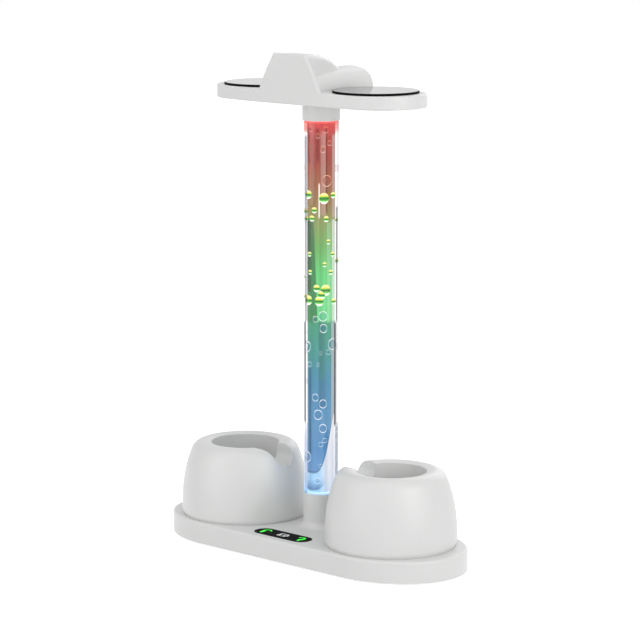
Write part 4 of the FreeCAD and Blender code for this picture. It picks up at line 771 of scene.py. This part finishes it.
def makePad(node, sizes):
    centre, radius, bottom, top = roundNode(node)
    soft = sizes["soften"]
    profile = [(0.0, bottom, 1), (radius, bottom, 1), (radius, top - soft, 1), (radius - soft, top, 0),
               (0.0, top, 0)]
    pad = lathe(node + "Disc", profile, sizes["segments"], centre, [blackAcrylic, rimBlack], closed=False)
    finishPiece(pad, "dock", "black_gloss", node)


for node in ("left_rest_pad", "right_rest_pad"):
    makePad(node, pads)
print("rest pads made")


# Feet: rubber discs with gripping rings underneath
feet = {"rings": (2.4, 4.6, 6.8), "ringWidth": 1.1, "slope": 0.2, "groove": 0.5, "soften": 0.4,
        "rimInner": 0.9, "rimOuter": 0.7, "rimLift": 0.1, "segments": 72}


def makeFoot(node, sizes):
    centre, radius, bottom, top = roundNode(node)
    groove, half, soft = bottom + sizes["groove"], sizes["ringWidth"] / 2, sizes["soften"]
    outline = [(0.0, groove)]
    for ring in sizes["rings"]:
        outline += [(ring - half - sizes["slope"], groove), (ring - half, bottom), (ring + half, bottom),
                    (ring + half + sizes["slope"], groove)]
    outline += [(radius - sizes["rimInner"], groove), (radius - sizes["rimOuter"], bottom + soft / 2),
                (radius - soft, bottom + sizes["rimLift"]), (radius, bottom + soft), (radius, top),
                (0.0, top)]
    foot = lathe(node + "Rubber", [(*point, 0) for point in outline], sizes["segments"], centre,
                 [finishes["foot_rubber"]], closed=False)
    finishPiece(foot, "dock", "foot_rubber", node)


for node in ("foot_front_left", "foot_rear_left", "foot_front_right", "foot_rear_right"):
    makeFoot(node, feet)
print("feet made")


# Screws seen from below: a softened head with a cross recess, and the shank
screwSizes = {"headRadius": 2.6, "headHeight": 1.2, "edge": 0.25, "shankRadius": 1.25, "slotWidth": 0.75,
              "slotLength": 2.9, "slotDepth": 0.8, "apart": 2.2}  # apart is in head radii


def screwTree():
    tree, given = newTree("crossScrews", (
        "Head Radius", "Head Height", "Edge", "Shank Radius", "Shank Length", "Slot Width", "Slot Length",
        "Slot Depth"))
    narrow = addNode(tree, "ShaderNodeMath", {0: given["Head Radius"], 1: given["Edge"]},
                     operation="SUBTRACT")
    head = addNode(tree, "GeometryNodeMeshCone", {
        "Vertices": 48, "Radius Top": given["Head Radius"], "Radius Bottom": narrow.outputs[0],
        "Depth": given["Head Height"]})
    deep = addNode(tree, "ShaderNodeMath", {0: given["Slot Depth"], 1: 2.0}, operation="MULTIPLY")
    cutHead = addNode(tree, "GeometryNodeMeshBoolean", {"Mesh 1": head.outputs["Mesh"]},
                      operation="DIFFERENCE")
    for x, y in (("Slot Length", "Slot Width"), ("Slot Width", "Slot Length")):
        size = addNode(tree, "ShaderNodeCombineXYZ", {0: given[x], 1: given[y], 2: deep.outputs[0]})
        slot = addNode(tree, "GeometryNodeMeshCube", {"Size": size.outputs[0]})
        tree.links.new(slot.outputs["Mesh"], cutHead.inputs["Mesh 2"])
    shank = addNode(tree, "GeometryNodeMeshCylinder", {
        "Vertices": 24, "Radius": given["Shank Radius"], "Depth": given["Shank Length"]})
    middle = addNode(tree, "ShaderNodeMath", {0: given["Shank Length"], 1: 0.5, 2: given["Head Height"]},
                     operation="MULTIPLY_ADD")
    lift = addNode(tree, "ShaderNodeCombineXYZ", {2: middle.outputs[0]})
    raised = addNode(tree, "GeometryNodeTransform", {
        "Geometry": shank.outputs["Mesh"], "Translation": lift.outputs[0]})
    whole = addNode(tree, "GeometryNodeJoinGeometry")
    for part in (raised.outputs[0], cutHead.outputs["Mesh"]):
        tree.links.new(part, whole.inputs[0])
    setOnPoints(tree, given, whole.outputs[0])
    return tree


# One place for each screw of a node, from its own mesh
def screwPlaces(node, sizes):
    reach = sizes["apart"] * sizes["headRadius"] * mm
    groups = []
    for vertex in nodes[node].data.vertices:
        spot = vertex.co
        near = next((group for group in groups if (group[0].xy - spot.xy).length < reach), None)
        if near is None:
            groups.append([spot])
        else:
            near.append(spot)
    places = []
    for group in groups:
        sides = [(min(p[k] for p in group) + max(p[k] for p in group)) / 2 for k in (0, 1)]
        places.append((*sides, min(p.z for p in group)))
    return places


def makeScrews(node, tree, sizes):
    low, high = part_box(node)
    mesh = bpy.data.meshes.new(node + "Spots")
    mesh.from_pydata(screwPlaces(node, sizes), [], [])
    shankLength = (high.z - low.z) / mm - sizes["headHeight"]
    values = {"Head Radius": sizes["headRadius"], "Head Height": sizes["headHeight"], "Edge": sizes["edge"],
              "Shank Radius": sizes["shankRadius"], "Shank Length": shankLength,
              "Slot Width": sizes["slotWidth"], "Slot Length": sizes["slotLength"],
              "Slot Depth": sizes["slotDepth"]}
    inputs = {key: value * mm for key, value in values.items()}
    piece = runTree(node + "Cross", mesh, tree, {**inputs, "Skin": finishes["screw_steel"]})
    finishPiece(piece, "dock", "screw_steel", node)


crossScrews = screwTree()
for node in ("cover_screws", "cradle_screws"):
    makeScrews(node, crossScrews, screwSizes)
print("screws made")


# Contact springs: coils of wire under the sprung pins, drawn at their node's full height
springSizes = {"turns": 2.5, "wire": 0.25, "steps": 24, "sides": 10}


def springTree():
    tree, given = newTree("pinSprings", ("Turns", "Coil Radius", "Coil Height", "Wire Radius"),
                          ("Steps", "Sides"))
    coil = addNode(tree, "GeometryNodeCurveSpiral", {
        "Resolution": given["Steps"], "Rotations": given["Turns"], "Start Radius": given["Coil Radius"],
        "End Radius": given["Coil Radius"], "Height": given["Coil Height"]})
    wire = addNode(tree, "GeometryNodeCurvePrimitiveCircle", {
        "Resolution": given["Sides"], "Radius": given["Wire Radius"]})
    swept = addNode(tree, "GeometryNodeCurveToMesh", {
        "Curve": coil.outputs["Curve"], "Profile Curve": wire.outputs["Curve"], "Fill Caps": True})
    smooth = addNode(tree, "GeometryNodeSetShadeSmooth", {"Geometry": swept.outputs["Mesh"]})
    setOnPoints(tree, given, smooth.outputs["Geometry"])
    return tree


def makeSpring(joint, tree, sizes):
    node = joint["deforming_nodes"][0]["node"]
    low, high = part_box(node)
    tall, wire = high.z - low.z, sizes["wire"] * mm
    mesh = bpy.data.meshes.new(node + "Spot")
    mesh.from_pydata([((low.x + high.x) / 2, (low.y + high.y) / 2, low.z + wire)], [], [])
    piece = runTree(node + "Coil", mesh, tree, {
        "Turns": sizes["turns"], "Coil Radius": (high.x - low.x) / 2 - wire, "Coil Height": tall - 2 * wire,
        "Wire Radius": wire, "Steps": sizes["steps"], "Sides": sizes["sides"],
        "Skin": finishes["spring_steel"]})
    finishPiece(piece, "dock", "spring_steel", node)
    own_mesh(piece)


pinSprings = springTree()
for joint in frame["record"]["behaviour"]["joints"]:
    makeSpring(joint, pinSprings, springSizes)
print("contact springs made")


# Floor and world: white where seen, straight, mirrored or through the acrylic, and a plain light otherwise
studio = {"floorHalf": 4, "floor": "#ececec", "floorLift": 0.8, "worldLight": 0.51}


def seenByEye(tree):
    path = addNode(tree, "ShaderNodeLightPath").outputs
    seen = path["Is Camera Ray"]
    for key in ("Is Glossy Ray", "Is Transmission Ray"):
        seen = addNode(tree, "ShaderNodeMath", {0: seen, 1: path[key]}, operation="MAXIMUM").outputs[0]
    return seen


def makeFloor(sizes):
    half = sizes["floorHalf"]
    mesh = bpy.data.meshes.new("studioFloor")
    corners = [(-half, -half, 0), (half, -half, 0), (half, half, 0), (-half, half, 0)]
    mesh.from_pydata(corners, [], [(0, 1, 2, 3)])
    material, tree = newMaterial("paleFloor")
    lift = addNode(tree, "ShaderNodeMapRange", {0: seenByEye(tree), 3: 0.0, 4: sizes["floorLift"]})
    shader = addNode(tree, "ShaderNodeBsdfPrincipled", {
        "Base Color": hexColour(sizes["floor"]), "Roughness": 0.9, "Specular IOR Level": 0.0,
        "Emission Color": (1, 1, 1, 1), "Emission Strength": lift.outputs[0]})
    closeMaterial(tree, shader)
    linkMesh("studioFloor", mesh, [material])


def makeWorld(sizes):
    world = bpy.data.worlds.new("whiteStudio")
    world.use_nodes = True
    tree = world.node_tree
    tree.nodes.clear()
    strength = addNode(tree, "ShaderNodeMapRange", {0: seenByEye(tree), 3: sizes["worldLight"], 4: 1.0})
    back = addNode(tree, "ShaderNodeBackground", {"Color": (1, 1, 1, 1), "Strength": strength.outputs[0]})
    addNode(tree, "ShaderNodeOutputWorld", {"Surface": back.outputs[0]})
    bpy.context.scene.world = world


# Soft lamps, all turned to one point low on the column; places and sizes in metres
lampAim = (0, 0, 0.15)
lamps = {
    "topSoftbox": {"from": (0.1, -0.3, 1.7), "size": 1.4, "watts": 5.2},
    "frontSoftbox": {"from": (-0.7, -1.8, 0.7), "size": 1.4, "watts": 9.8},
    "rightSoftbox": {"from": (1.8, -0.2, 0.8), "size": 1.2, "watts": 14.2},
    "rearSoftbox": {"from": (-0.5, 1.7, 0.9), "size": 1.2, "watts": 6.0},
}


def makeLamps(sizes):
    for name, lamp in sizes.items():
        light = bpy.data.lights.new(name, "AREA")
        light.size = lamp["size"]
        light.energy = lamp["watts"]
        holder = bpy.data.objects.new(name, light)
        bpy.context.scene.collection.objects.link(holder)
        spot = Vector(lamp["from"])
        holder.location = spot
        holder.rotation_euler = (Vector(lampAim) - spot).to_track_quat("-Z", "Y").to_euler()


# Solved from the photograph: angles in degrees, lengths in metres, focal length in pixels of a 640 px frame
shot = {"azimuth": 42.88, "pitch": 9.78, "distance": 2.3686, "across": 0.00296, "height": 0.20126,
        "focal": 2773.6, "framePixels": 640, "sensorMm": 36, "farEnd": 50}


def makeCamera(sizes):
    turn, dip = math.radians(sizes["azimuth"]), math.radians(sizes["pitch"])
    right = Vector((math.cos(turn), math.sin(turn), 0))
    ahead = Vector((-math.sin(turn) * math.cos(dip), math.cos(turn) * math.cos(dip), -math.sin(dip)))
    upward = right.cross(ahead)
    spot = right * sizes["across"] + Vector((0, 0, sizes["height"])) - ahead * sizes["distance"]
    camera = bpy.data.cameras.new("photoCamera")
    camera.sensor_width = sizes["sensorMm"]
    camera.lens = sizes["focal"] / sizes["framePixels"] * sizes["sensorMm"]
    camera.clip_end = sizes["farEnd"]
    holder = bpy.data.objects.new("photoCamera", camera)
    bpy.context.scene.collection.objects.link(holder)
    frameAxes = Matrix((right, upward, -ahead)).transposed().to_4x4()
    frameAxes.translation = spot
    holder.matrix_world = frameAxes
    bpy.context.scene.camera = holder


makeFloor(studio)
makeWorld(studio)
makeLamps(lamps)
makeCamera(shot)
bpy.context.scene.view_settings.view_transform = "Standard"
print("stage, light and camera made")
